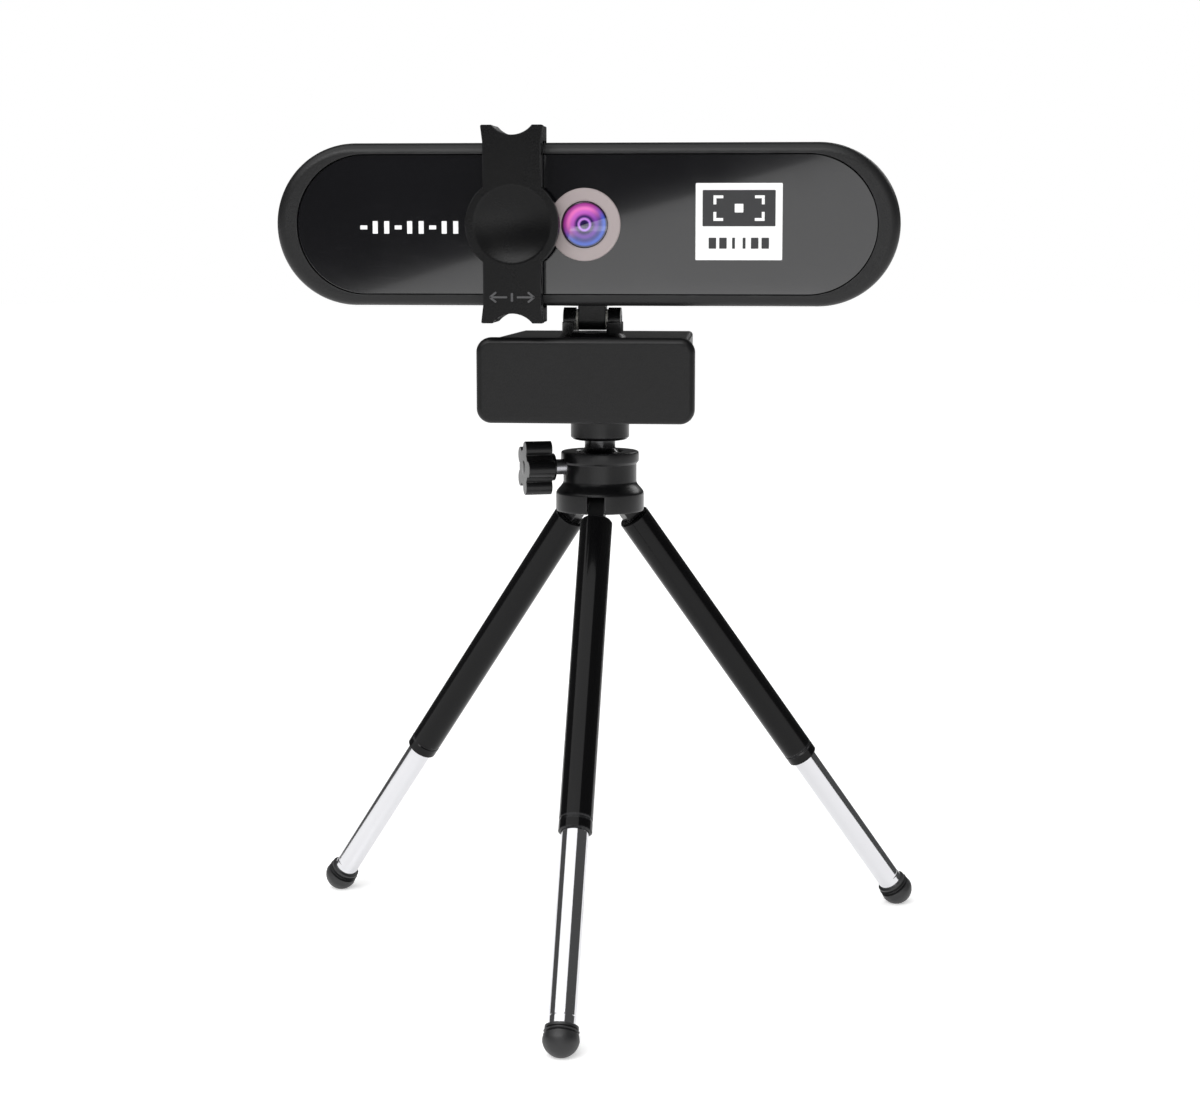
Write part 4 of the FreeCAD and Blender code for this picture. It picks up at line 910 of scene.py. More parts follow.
@dataclass
class Leg:
    """A telescopic leg, modelled once along -Z from its pivot and copied to three places."""

    tube_radius: float = 3.0 * MM
    bore: float = 2.5 * MM
    inner_radius: float = 2.4 * MM
    tube_start: float = 3.6 * MM
    tube_end: float = 66.0 * MM
    inner_start: float = 45.0 * MM
    reach: float = 103.0 * MM
    foot_radius: float = 3.2 * MM
    sleeve: float = 2.2 * MM
    bead: float = 0.15 * MM

    def tube(self) -> Piece:
        """The painted outer tube, with its rolled lower end and the crimp above it.

        Returns:
            The tube, hanging from the origin.
        """
        wide, low, high, bead = self.tube_radius, -self.tube_end, -self.tube_start, self.bead
        crimp = low + 2.2 * MM
        profile = [
            (self.bore, low), (wide - 2 * bead, low), (wide, low + bead), (wide, crimp - 2 * bead),
            (wide - bead, crimp - bead), (wide - bead, crimp + bead), (wide, crimp + 2 * bead),
            (wide, high - 2 * bead), (wide - bead, high - bead / 2), (wide - 2 * bead, high),
            (self.bore, high), (self.bore, low),
        ]
        return lathe("leg_outer", profile, 64)

    def inner(self) -> Piece:
        """The chromed inner tube.

        Returns:
            The tube, hanging from the origin.
        """
        wide, low, high, bead = self.inner_radius, -(self.reach - 0.8 * MM), -self.inner_start, self.bead
        wall = wide - 3 * bead
        profile = [
            (wall, low), (wide - bead, low), (wide, low + bead), (wide, low + 2.6 * MM),
            (wide - bead / 3, low + 2.7 * MM), (wide - bead / 3, low + 2.9 * MM), (wide, low + 3.0 * MM),
            (wide, high - bead), (wide - bead, high), (wall, high), (wall, low),
        ]
        return lathe("leg_chrome", profile, 64)

    def foot(self) -> Piece:
        """The rubber foot: a ringed sleeve that ends in a ball.

        Returns:
            The foot, hanging from the origin.
        """
        wide, bead = self.foot_radius, self.bead
        top = -(self.reach - self.sleeve)
        mouth = self.inner_radius + 0.01 * MM
        profile = [(mouth, top - 1.0 * MM), (mouth, top), (wide - 4 * bead, top), (wide - 2 * bead, top - bead)]
        for step in (0.55, 1.15):
            ring = top - step * MM
            profile += [
                (wide - 2 * bead, ring), (wide - 4 * bead, ring - bead),
                (wide - 4 * bead, ring - 2 * bead), (wide - bead, ring - 3 * bead),
            ]
        for angle in range(6, 90, 7):
            turn = math.radians(angle)
            profile.append((wide * math.cos(turn), -self.reach - wide * math.sin(turn)))
        profile.append((0.0, -self.reach - wide))
        profile.append((0.0, top - 1.0 * MM))
        profile.append((mouth, top - 1.0 * MM))
        return lathe("leg_ball", profile, 56)

    @staticmethod
    def stance(side: Side) -> Matrix:
        """Where a leg stands: its pivot, and +Z laid up along it.

        Args:
            side: Which leg.

        Returns:
            The matrix.
        """
        pivot = Vector(joint_row(f"leg_{side.label}_fold")["pos_m"])
        way = Vector(joint_row(f"leg_{side.label}_slide")["axis"])
        return along(pivot, pivot + way)

    def build(self) -> None:
        """Model the three pieces once and stand a copy of each on every leg."""
        masters = (
            (self.tube(), "leg_outer", LEG_PAINT, "leg_paint", "leg", "leg_tube"),
            (self.inner(), "leg_chrome", CHROME, "leg_chrome", "inner", "leg_inner"),
            (self.foot(), "leg_ball", FOOT_RUBBER, "foot_rubber", "inner", "leg_foot"),
        )
        for master, name, finish, slot, body, node in masters:
            for side in Side:
                piece = bpy.data.objects.new(f"{name}_{side.label}", master.data.copy())
                bpy.context.scene.collection.objects.link(piece)
                place(piece, self.stance(side))
                if name == "leg_ball":
                    self.stand_flat(piece)
                dress(piece, finish, slot, f"{body}_{side.label}", f"{node}_{side.label}")
            bpy.data.objects.remove(master, do_unlink=True)
        for side in Side:
            keep_node(f"leg_eye_{side.label}", BLACK_METAL)
            keep_node(f"leg_bush_{side.label}", NYLON)

    @staticmethod
    def stand_flat(piece: Piece) -> None:
        """Cut a foot off level at the ground, worn flat where it stands.

        Args:
            piece: The foot, in its place.
        """
        edit(piece, "FACE")
        bpy.ops.mesh.select_all(action="SELECT")
        bpy.ops.mesh.bisect(
            plane_co=(0, 0, 0), plane_no=(0, 0, 1), use_fill=True, clear_inner=True, threshold=SHARP
        )
        leave_edit(piece)


@dataclass
class TripodHead:
    """The head: a collar with a flared skirt, the ball, the platform, the stud and the knob."""

    edge: float = 0.2 * MM
    waist: float = 6.9 * MM
    rim: float = 7.35 * MM
    rim_height: float = 1.9 * MM
    mouth: float = 4.28 * MM
    flare_height: float = 2.4 * MM
    cup_depth: float = 3.6 * MM
    slot_low: tuple[float, float, float] = (-2.0 * MM, -1.65 * MM, -4.0 * MM)
    slot_high: tuple[float, float, float] = (4.6 * MM, 1.65 * MM, 1.85 * MM)
    pin: float = 0.76 * MM
    screw_way: float = 1.5 * MM
    ribs: int = 30
    rib_depth: float = 0.28 * MM
    neck: float = 2.9 * MM

    def collar(self) -> Piece:
        """The collar: a flared skirt with three leg slots, a rolled rim and the ball's mouth.

        Returns:
            The collar.
        """
        span, globe = Span.of("head_collar"), Span.of("ball_stem")
        low, high, skirt = span.low.z, span.high.z, span.size.x / 2
        ball = globe.size.x / 2
        middle = globe.low.z + ball
        waist, rim, mouth, bore = self.waist, self.rim, self.mouth, ball + 0.3 * MM
        flare = low + 3.3 * MM
        profile = [(0.0, low), (skirt - 0.45 * MM, low), (skirt - 0.12 * MM, low + 0.12 * MM)]
        profile += [(skirt, low + 0.45 * MM), (skirt, flare)]
        for step in range(1, 9):
            turn = step / 8 * math.pi
            radius = waist + (skirt - waist) * (1 + math.cos(turn)) / 2
            profile.append((radius, flare + self.flare_height * step / 8))
        under = high - self.rim_height
        profile += [
            (waist, under - 0.5 * MM), (rim - 0.12 * MM, under - 0.12 * MM), (rim, under + 0.1 * MM),
            (rim, high - 0.4 * MM), (rim - 0.12 * MM, high - 0.12 * MM), (rim - 0.4 * MM, high),
            (mouth + 0.3 * MM, high), (mouth, high - 0.25 * MM), (bore, middle + 0.36 * ball),
            (bore, middle - self.cup_depth), (0.0, middle - self.cup_depth),
        ]
        collar = lathe("head_collar_skin", profile, 96)
        tools = []
        for side in Side:
            spot = Vector(joint_row(f"leg_{side.label}_fold")["pos_m"])
            stand = Matrix.Translation(spot) @ Matrix.Rotation(side.turn, 4, "Z")
            tools.append(place(block("slot", self.slot_low, self.slot_high), stand))
            tools.append(place(rod("pin", self.pin, (0, -4.2 * MM, 0), (0, 4.2 * MM, 0), 32), stand))
        row = joint_row("knob_turn")
        outward, spot = Vector(row["axis"]), Vector(row["pos_m"])
        tools.append(rod("clamp_way", self.screw_way, spot, spot + outward * 11 * MM, 48))
        carve(collar, "DIFFERENCE", *tools)
        return soften(collar, self.edge, 3, 38)

    def platform(self) -> Piece:
        """The platform: a waisted drum with a ribbed band under its rim.

        Returns:
            The platform in its place.
        """
        span = Span.of("platform")
        low, high = span.low.z, span.high.z
        wide, bevel = span.size.x / 2, 0.6 * MM
        waist, bore, floor = wide - 0.25 * bevel, 3.2 * MM, low + 2.2 * MM
        band_low, band_high = high - 2.6 * MM, high - 0.7 * MM
        sides = 4 * self.ribs
        drum = lathe("platform_skin", [
            (0.0, low), (wide - 2 * bevel, low), (wide - bevel, low + 0.25 * bevel), (waist, low + bevel),
            (waist, band_low - 0.3 * MM), (wide, band_low), (wide, band_high), (wide, band_high + 0.3 * MM),
            (wide, high - 0.2 * MM), (wide - 0.2 * MM, high), (bore, high), (bore, floor), (0.0, floor),
        ], sides)

        def between_ribs(face: bmesh.types.BMFace) -> bool:
            """Whether a face of the band lies between two ribs.

            Args:
                face: The face.

            Returns:
                True if it does.
            """
            centre = face.calc_center_median()
            turn = math.atan2(centre.y, centre.x) / (2 * math.pi) * sides
            return abs(centre.z - (band_low + band_high) / 2) < 0.1 * MM and math.floor(turn) % 4 < 2

        edit(drum, "FACE")
        pick(drum, between_ribs)
        bpy.ops.mesh.inset(thickness=0.06 * MM, depth=-self.rib_depth, use_individual=False)
        return leave_edit(drum)

    def stem(self) -> Piece:
        """The ball with its stem and the fillet between them.

        Returns:
            The ball and stem in their place.
        """
        span, neck = Span.of("ball_stem"), self.neck
        wide = span.size.x / 2
        low, high = span.low.z, span.high.z
        centre = low + wide
        profile = [(0.0, low)]
        for angle in range(-84, 50, 6):
            turn = math.radians(angle)
            if wide * math.cos(turn) > neck + 0.1 * MM or angle < 0:
                profile.append((wide * math.cos(turn), centre + wide * math.sin(turn)))
        join = centre + math.sqrt(wide**2 - neck**2)
        profile += [(neck + 0.08 * MM, join - 0.05 * MM), (neck, join + 0.25 * MM), (neck, high), (0.0, high)]
        return lathe("ball_stem_skin", profile, 72)

    def knob(self) -> Piece:
        """The lobed knob with a domed cap on its outer face.

        Returns:
            The knob in its place.
        """
        star = copy_of("clamp_knob", "knob_skin", 0.45 * MM, 4)
        row = joint_row("knob_turn")
        outward, centre = Vector(row["axis"]), Vector(row["pos_m"])
        reach = max((vert.co - centre).dot(outward) for vert in star.data.vertices)
        cap = lathe("knob_cap", [
            (0.0, -1.2 * MM), (2.1 * MM, -1.2 * MM), (2.1 * MM, 0.0), (1.9 * MM, 0.16 * MM),
            (1.2 * MM, 0.34 * MM), (0.5 * MM, 0.42 * MM), (0.0, 0.44 * MM),
        ], 48)
        start = centre + outward * (reach - 0.3 * MM)
        place(cap, along(start, start + outward))
        return together("knob_skin", [star, cap])

    def build(self) -> None:
        """Build and dress the head."""
        dress(self.collar(), BLACK_METAL, "head_metal", "tripod_head", "head_collar")
        dress(self.platform(), BLACK_METAL, "head_metal", "ball", "platform")
        dress(self.stem(), BLACKENED, "steel", "ball", "ball_stem")
        dress(self.knob(), BLACK_PLASTIC, "satin_black_plastic", "knob", "clamp_knob")
        keep_node("ball_seat", NYLON)
        keep_node("platform_pad", RUBBER)
        for name in ("clamp_screw", "leg_pins", "tripod_stud"):
            keep_node(name, STEEL)


# Clip ----------------------------------------------------------------------------------------


@dataclass
class Clip:
    """The folding clip: lip, two arms, their pads, the hinge and the fold-out foot."""

    lip_corner: float = 2.6 * MM
    lip_round: float = 1.2 * MM
    edge: float = 0.3 * MM
    pad_rim: float = 0.8 * MM
    pad_sink: float = 0.15 * MM
    pad_edge: float = 0.12 * MM

    def lip(self) -> Piece:
        """The lip's front cover: round corners, a soft front edge and a fine seam behind it.

        Returns:
            The cover of the lip.
        """
        span = Span.of("lip_cover")
        size, centre = span.size, span.centre
        back = (centre.x, span.high.y, centre.z)
        cover = plate("lip_skin", size.x, size.z, size.y, self.lip_corner, back)
        round_at(cover, span.low.y, self.lip_round, 7)
        return round_at(cover, span.high.y, 0.2 * MM, 2)


    def pad(self, node: str, up: float) -> Piece:
        """A rubber pad with a raised rim round its sunk middle.

        Args:
            node: The CAD pad.
            up: 1 if its gripping face looks up, and -1 if down.

        Returns:
            The pad.
        """
        span = Span.of(node)
        piece = block(f"{node}_skin", span.low, span.high)
        level = span.high.z if up > 0 else span.low.z
        edit(piece, "FACE")
        pick(piece, lambda face: abs(face.calc_center_median().z - level) < NEAR)
        bpy.ops.mesh.inset(thickness=self.pad_rim, depth=0)
        bpy.ops.mesh.inset(thickness=self.pad_sink, depth=-self.pad_sink)
        leave_edit(piece)
        return soften(piece, self.pad_edge, 2, 30)

    def hinge_caps(self) -> Piece:
        """The two caps on the hinge pin, each dished and rounded.

        Returns:
            Both caps as one piece.
        """
        span = Span.of("hinge_caps")
        radius = span.size.z / 2
        caps = []
        for side in (-1, 1):
            profile = [
                (0.0, 0.0), (radius, 0.0), (radius, 0.5 * MM), (radius - 0.3 * MM, 0.8 * MM),
                (radius - 0.8 * MM, 0.8 * MM), (radius - 1.0 * MM, 0.62 * MM), (0.0, 0.62 * MM),
            ]
            cap = lathe("hinge_cap", profile, 48)
            outer = span.high.x if side > 0 else span.low.x
            start = Vector((outer - side * 0.8 * MM, span.centre.y, span.centre.z))
            caps.append(place(cap, along(start, start + Vector((side, 0, 0)))))
        return together("hinge_cap_skins", caps)

    def build(self) -> None:
        """Build and dress the clip."""
        dress(self.lip(), CLIP, "clip_plastic", "upper_clip", "lip_cover")
        for node, body, width, segments in (
            ("upper_arm", "upper_clip", self.edge, 3),
            ("lower_arm", "lower_clip", self.edge, 2),
            ("foot_plate", "foot", 0.25 * MM, 2),
        ):
            dress(copy_of(node, f"{node}_skin", width, segments), CLIP, "clip_plastic", body, node)
        for node, body, up in (
            ("upper_pad", "upper_clip", -1), ("lower_pad", "lower_clip", 1), ("foot_pad", "foot", -1)
        ):
            dress(self.pad(node, up), RUBBER, "rubber", body, node)
        dress(self.hinge_caps(), CLIP, "clip_plastic", "lower_clip", "hinge_caps")
        for name, finish in (("hinge_pin", STEEL), ("foot_pin", STEEL), ("thread_insert", BRASS)):
            keep_node(name, finish)


@dataclass
class Neck:
    """The swivelling fork under the camera, its lug and hardware."""

    edge: float = 0.22 * MM

    def build(self) -> None:
        """Build and dress the neck."""
        fork = copy_of("swivel_fork", "swivel_fork_skin", self.edge, 3)
        dress(fork, BLACK_PLASTIC, "satin_black_plastic", "fork", "swivel_fork")
        lug = copy_of("tilt_lug", "tilt_lug_skin", self.edge, 3)
        dress(lug, CASE, "case_plastic", "camera", "tilt_lug")
        for name in ("swivel_screw", "swivel_washer", "tilt_pin"):
            keep_node(name, STEEL)
        keep_node("tilt_washers", NYLON)
        keep_node("lug_screws", DARK_STEEL)


# Camera --------------------------------------------------------------------------------------


@dataclass
class Camera:
    """The camera: bezel, rear shell, front panel with its marks, and the lens."""

    bezel_round: float = 1.9 * MM
    shell_round: float = 5.0 * MM
    rim_side: float = 3.8 * MM
    rim_top: float = 1.9 * MM
    groove_width: float = 1.4 * MM
    groove_depth: float = 0.9 * MM
    taper: float = math.radians(1.5)
    lens_radius: float = 4.05 * MM
    badge_offset: float = 27.0 * MM
    badge_size: tuple[float, float] = (15.1 * MM, 13.3 * MM)
    ink: float = 0.03 * MM
    seat_fit: float = 0.16 * MM
    panel_depth: float = 1.4 * MM
    panel_hole: float = 4.2 * MM
    ring_radius: float = 6.35 * MM
    ring_bore: float = 4.12 * MM
    ring_thickness: float = 0.4 * MM
    gland_bore: float = 1.7 * MM
    screw_head: float = 2.3 * MM

    def __post_init__(self) -> None:
        """Read the camera's own places from the frame."""
        panel, shell, ring = Span.of("front_panel"), Span.of("rear_shell"), Span.of("lens_ring")
        self.front = Span.of("front_bezel").low.y
        self.middle = panel.centre.z
        self.panel_y = panel.low.y
        self.panel_size = (panel.size.x, panel.size.z)
        self.seam = shell.low.y
        self.rear = shell.high.y
        self.lens = Vector((ring.centre.x, ring.high.y, ring.centre.z))

    @property
    def outline(self) -> tuple[float, float]:
        """The camera's full width and height, round the panel and its rims.

        Returns:
            The width and the height.
        """
        fit = 0.2 * MM
        width, height = self.panel_size
        return width + fit + 2 * self.rim_side, height + fit + 2 * self.rim_top

    def bezel(self) -> Piece:
        """The ring round the panel: a wide front round outside, a fine one inside.

        Returns:
            The bezel.
        """
        width, height = self.outline
        back = (0, self.seam, self.middle)
        ring = plate("bezel_skin", width, height, self.seam - self.front, height / 2, back, steps=48)
        seat_width, seat_height = self.panel_size
        seat_back = (0, self.front + 1.85 * MM, self.middle)
        seat_width, seat_height = seat_width + self.seat_fit, seat_height + self.seat_fit
        seat = plate(
            "seat", seat_width, seat_height, 4 * MM, self.panel_size[1] / 2, seat_back, steps=48
        )
        round_at(ring, self.front, self.bezel_round, 8)
        round_at(ring, self.seam, 0.25 * MM, 2)
        return carve(ring, "DIFFERENCE", seat)

    def shell(self) -> Piece:
        """The rear shell: a slight taper, a deep round behind and the cover's groove in front.

        Returns:
            The shell.
        """
        width, height = self.outline
        step = 0.6 * MM
        width, height = width - step, height - step
        start = self.seam + self.groove_width
        depth = self.rear - start
        body = plate("shell_skin", width, height, depth, height / 2, (0, self.rear, self.middle), steps=48)
        narrow = math.tan(self.taper) * depth * 2
        edit(body, "VERT")
        pick(body, lambda vert: abs(vert.co.y - self.rear) < NEAR, "VERT")
        factor = ((width - narrow) / width, 1.0, (height - narrow) / height)
        bpy.ops.transform.resize(value=factor, center_override=(0, self.rear, self.middle))
        bpy.ops.mesh.select_mode(type="EDGE")
        bpy.ops.mesh.select_all(action="DESELECT")
        pick(body, at_depth(self.rear), "EDGE")
        bpy.ops.mesh.bevel(offset=self.shell_round, segments=14, affect="EDGES")
        bpy.ops.mesh.select_mode(type="FACE")
        bpy.ops.mesh.select_all(action="DESELECT")
        pick(body, lambda face: face.normal.y < FACES_FRONT)
        bpy.ops.mesh.inset(thickness=self.groove_depth, depth=0)
        bpy.ops.mesh.extrude_region_move(TRANSFORM_OT_translate={"value": (0, -self.groove_width, 0)})
        bpy.ops.mesh.select_mode(type="EDGE")
        bpy.ops.mesh.select_all(action="DESELECT")
        reach = height / 2 - self.groove_depth / 2
        pick(body, lambda edge: at_depth(start)(edge) and self.outside(edge, reach), "EDGE")
        bpy.ops.mesh.bevel(offset=0.3 * MM, segments=3, affect="EDGES")
        leave_edit(body)
        return self.pierce(body)

    def outside(self, edge: bmesh.types.BMEdge, reach: float) -> bool:
        """Whether an edge lies on the shell's own outline and not on the groove's floor.

        Args:
            edge: The edge.
            reach: How far out from the middle line the outline begins.

        Returns:
            True if it does.
        """
        middle = (edge.verts[0].co + edge.verts[1].co) / 2
        straight = self.outline[0] / 2 - self.outline[1] / 2
        across = max(abs(middle.x) - straight, 0.0)
        return math.hypot(across, middle.z - self.middle) > reach

    def pierce(self, body: Piece) -> Piece:
        """Sink the screws' recesses, the cable's bore and the lug's round seat into the shell.

        Args:
            body: The shell.

        Returns:
            The same shell.
        """
        lug, gland = Span.of("tilt_lug"), Span.of("cable_gland")
        past = self.rear + 2 * MM
        tools = []
        for x in self.screw_places():
            start, end = (x, self.rear - 1.4 * MM, self.middle), (x, past, self.middle)
            tools.append(rod("sink", self.screw_head + 0.05 * MM, start, end))
        start, end = (0, self.rear - 1.5 * MM, gland.centre.z), (0, past, gland.centre.z)
        tools.append(rod("way", gland.size.x / 2 - 0.3 * MM, start, end))
        start, end = (0, lug.centre.y, lug.low.z), (0, lug.centre.y, lug.high.z)
        tools.append(rod("seat", lug.size.x / 2 + 0.1 * MM, start, end, 96))
        return carve(body, "DIFFERENCE", *tools)

    def screw_places(self) -> tuple[float, float]:
        """The X of each shell screw."""
        span = Span.of("shell_screws")
        return span.low.x + self.screw_head, span.high.x - self.screw_head

    def panel(self) -> Piece:
        """The glossy panel with its fine edge and the hole for the lens.

        Returns:
            The panel.
        """
        width, height = self.panel_size
        back = (0, self.panel_y + self.panel_depth, self.middle)
        sheet = plate("panel_skin", width, height, self.panel_depth, height / 2, back, steps=48)
        round_at(sheet, self.panel_y, 0.18 * MM, 2)
        start = self.lens + Vector((0, -2 * MM, 0))
        hole = rod("hole", self.panel_hole, start, start + Vector((0, 6 * MM, 0)), 96)
        return carve(sheet, "DIFFERENCE", hole)

    def dome(self) -> Piece:
        """The coated front glass, a shallow dome in its seat.

        Returns:
            The glass in its seat.
        """
        rise, wide = 0.5 * MM, self.lens_radius
        sphere = (wide**2 + rise**2) / (2 * rise)
        profile = [(0.0, -1.3 * MM), (wide, -1.3 * MM), (wide, 0.0)]
        for step in range(11, -1, -1):
            radius = wide * 0.985 * step / 11
            profile.append((radius, math.sqrt(sphere**2 - radius**2) - (sphere - rise)))
        glass = lathe("lens_dome", profile, 96)
        start = self.lens + Vector((0, 0.15 * MM, 0))
        return place(glass, along(start, start + Vector((0, -1, 0))))

    def lens_ring(self) -> Piece:
        """The printed ring round the lens, with rounded edges.

        Returns:
            The ring in its place.
        """
        wide, bore, thick = self.ring_radius, self.ring_bore, self.ring_thickness
        profile = [
            (bore, 0.0), (wide, 0.0), (wide, thick - 0.15 * MM), (wide - 0.15 * MM, thick),
            (bore + 0.25 * MM, thick), (bore, thick - 0.2 * MM), (bore, 0.0),
        ]
        ring = lathe("lens_ring_skin", profile, 96)
        return place(ring, along(self.lens, self.lens + Vector((0, -1, 0))))

    def mark(self, name: str, boxes: Iterable[tuple[float, float, float, float]], lift: float) -> Piece:
        """Thin printed rectangles on the panel.

        Args:
            name: The object's name.
            boxes: Centre X and Z from the lens, width and height of each, in millimetres.
            lift: How far their faces stand off the panel.

        Returns:
            The marks as one piece.
        """
        parts = []
        for x, z, width, height in boxes:
            back = (x * MM, self.panel_y + 0.02 * MM, self.middle + z * MM)
            corner = min(width, height, 2.0) * 0.08 * MM
            parts.append(plate("mark", width * MM, height * MM, lift + 0.02 * MM, corner, back, steps=3))
        return together(name, parts)

    def badge(self) -> list[Piece]:
        """The generic badge: a pale frame, a dark window with focus corners, and a row of bars.

        Returns:
            The frame, the window with its bars, and the focus corners.
        """
        x, (width, height) = self.badge_offset / MM, (size / MM for size in self.badge_size)
        frame_plate = self.mark("badge_frame", [(x, 0.5, width, height)], self.ink)
        window_height, window_width = height * 0.47, width * 0.84
        window_z = 0.5 + height / 2 - height * 0.09 - window_height / 2
        dark = [(x, window_z, window_width, window_height)]
        low = 0.5 - height * 0.28
        for step, bar in enumerate((1.3, 1.3, 0.5, 0.5, 1.3, 1.3)):
            dark.append((x - 4.6 + step * 1.84, low, bar, 1.9))
        window = self.mark("badge_window", dark, self.ink * 2)
        light = []
        for side_x in (-1, 1):
            for side_z in (-1, 1):
                light.append((x + side_x * 3.6, window_z + side_z * 1.95, 1.7, 0.5))
                light.append((x + side_x * 4.2, window_z + side_z * 1.165, 0.5, 1.03))
        light.append((x, window_z, 1.5, 1.5))
        return [frame_plate, window, self.mark("badge_corners", light, self.ink * 3)]

    def ticks(self) -> Piece:
        """A row of small pale marks where the panel carries its print, left of the cover.

        Returns:
            The marks as one piece.
        """
        dash, bar = (1.25, 0.7), (0.9, 2.2)
        boxes = [(-39.2 + step * 2.05, -0.5, *(bar if step % 3 else dash)) for step in range(9)]
        return self.mark("panel_ticks", boxes, self.ink)

    def screw(self, x: float) -> Piece:
        """A shell screw: a domed head with a cross recess.

        Args:
            x: Where it stands.

        Returns:
            The screw's head.
        """
        head = lathe("shell_screw", [
            (0.0, -0.8 * MM), (2.25 * MM, -0.8 * MM), (2.25 * MM, 0.3 * MM), (2.0 * MM, 0.55 * MM),
            (1.4 * MM, 0.75 * MM), (0.0, 0.82 * MM),
        ], 48)
        for turn in (0, 1):
            half = (1.3 * MM, 0.22 * MM) if turn else (0.22 * MM, 1.3 * MM)
            carve(head, "DIFFERENCE", block("slot", (-half[0], -half[1], 0.2 * MM), (half[0], half[1], 1.5 * MM)))
        start = Vector((x, self.rear - 1.1 * MM, self.middle))
        return place(head, along(start, start + Vector((0, 1, 0))))

    def screws(self) -> Piece:
        """Both shell screws' heads."""
        return together("shell_screw_heads", [self.screw(x) for x in self.screw_places()])

    def gland(self) -> Piece:
        """The rubber gland that the lead would leave by: a flange with a ringed boss.

        Returns:
            The gland in its place.
        """
        span = Span.of("cable_gland")
        wide, top, bore = span.size.x / 2, span.high.y - self.rear, self.gland_bore
        profile = [
            (bore, -2.0 * MM), (wide - 0.6 * MM, -2.0 * MM), (wide - 0.6 * MM, 0.0), (wide, 0.0),
            (wide, top - 0.25 * MM), (wide - 0.25 * MM, top), (bore + 0.9 * MM, top),
            (bore + 0.75 * MM, top - 0.2 * MM), (bore + 0.3 * MM, top - 0.2 * MM), (bore, top - 0.35 * MM),
            (bore, -2.0 * MM),
        ]
        boss = lathe("gland_skin", profile, 56)
        start = Vector((0, self.rear, span.centre.z))
        return place(boss, along(start, start + Vector((0, 1, 0))))

    def build(self) -> None:
        """Build and dress the camera."""
        # The lens glass carries painted reflections, a painted dark pupil and a painted glow.
        glass = CoatedGlass(
            "glass_painted_reflections", (0.02, 0.01, 0.08), 0.05, coat=1.0, coat_roughness=0.02, centre=tuple(self.lens),
            radius=self.lens_radius,
        )
        inks = (WHITE_INK, DARK_INK, WHITE_INK)
        for piece, finish, slot, *nodes in (
            (self.bezel(), CASE, "case_plastic", "front_bezel"),
            (self.shell(), CASE, "case_plastic", "rear_shell"),
            (self.panel(), PANEL, "panel_gloss", "front_panel"),
            (self.dome(), glass, "lens_glass", "lens_window", "lens_front_element"),
            (self.lens_ring(), RING, "lens_ring_print", "lens_ring"),
            *((mark, ink, "panel_gloss") for mark, ink in zip(self.badge(), inks)),
            (self.ticks(), WHITE_INK, "panel_gloss"),
            (self.screws(), DARK_STEEL, "steel", "shell_screws"),
            (self.gland(), RUBBER, "rubber", "cable_gland"),
        ):
            dress(piece, finish, slot, "camera", *nodes)
        for name, finish in (
            ("lens_barrel", BLACK_PLASTIC), ("lens_rear_elements", PANEL), ("focus_housing", BLACK_PLASTIC),
            ("image_sensor", CHIP), ("main_board", BOARD), ("board_chips", CHIP), ("board_screws", STEEL),
            ("microphones", STEEL),
        ):
            keep_node(name, finish)


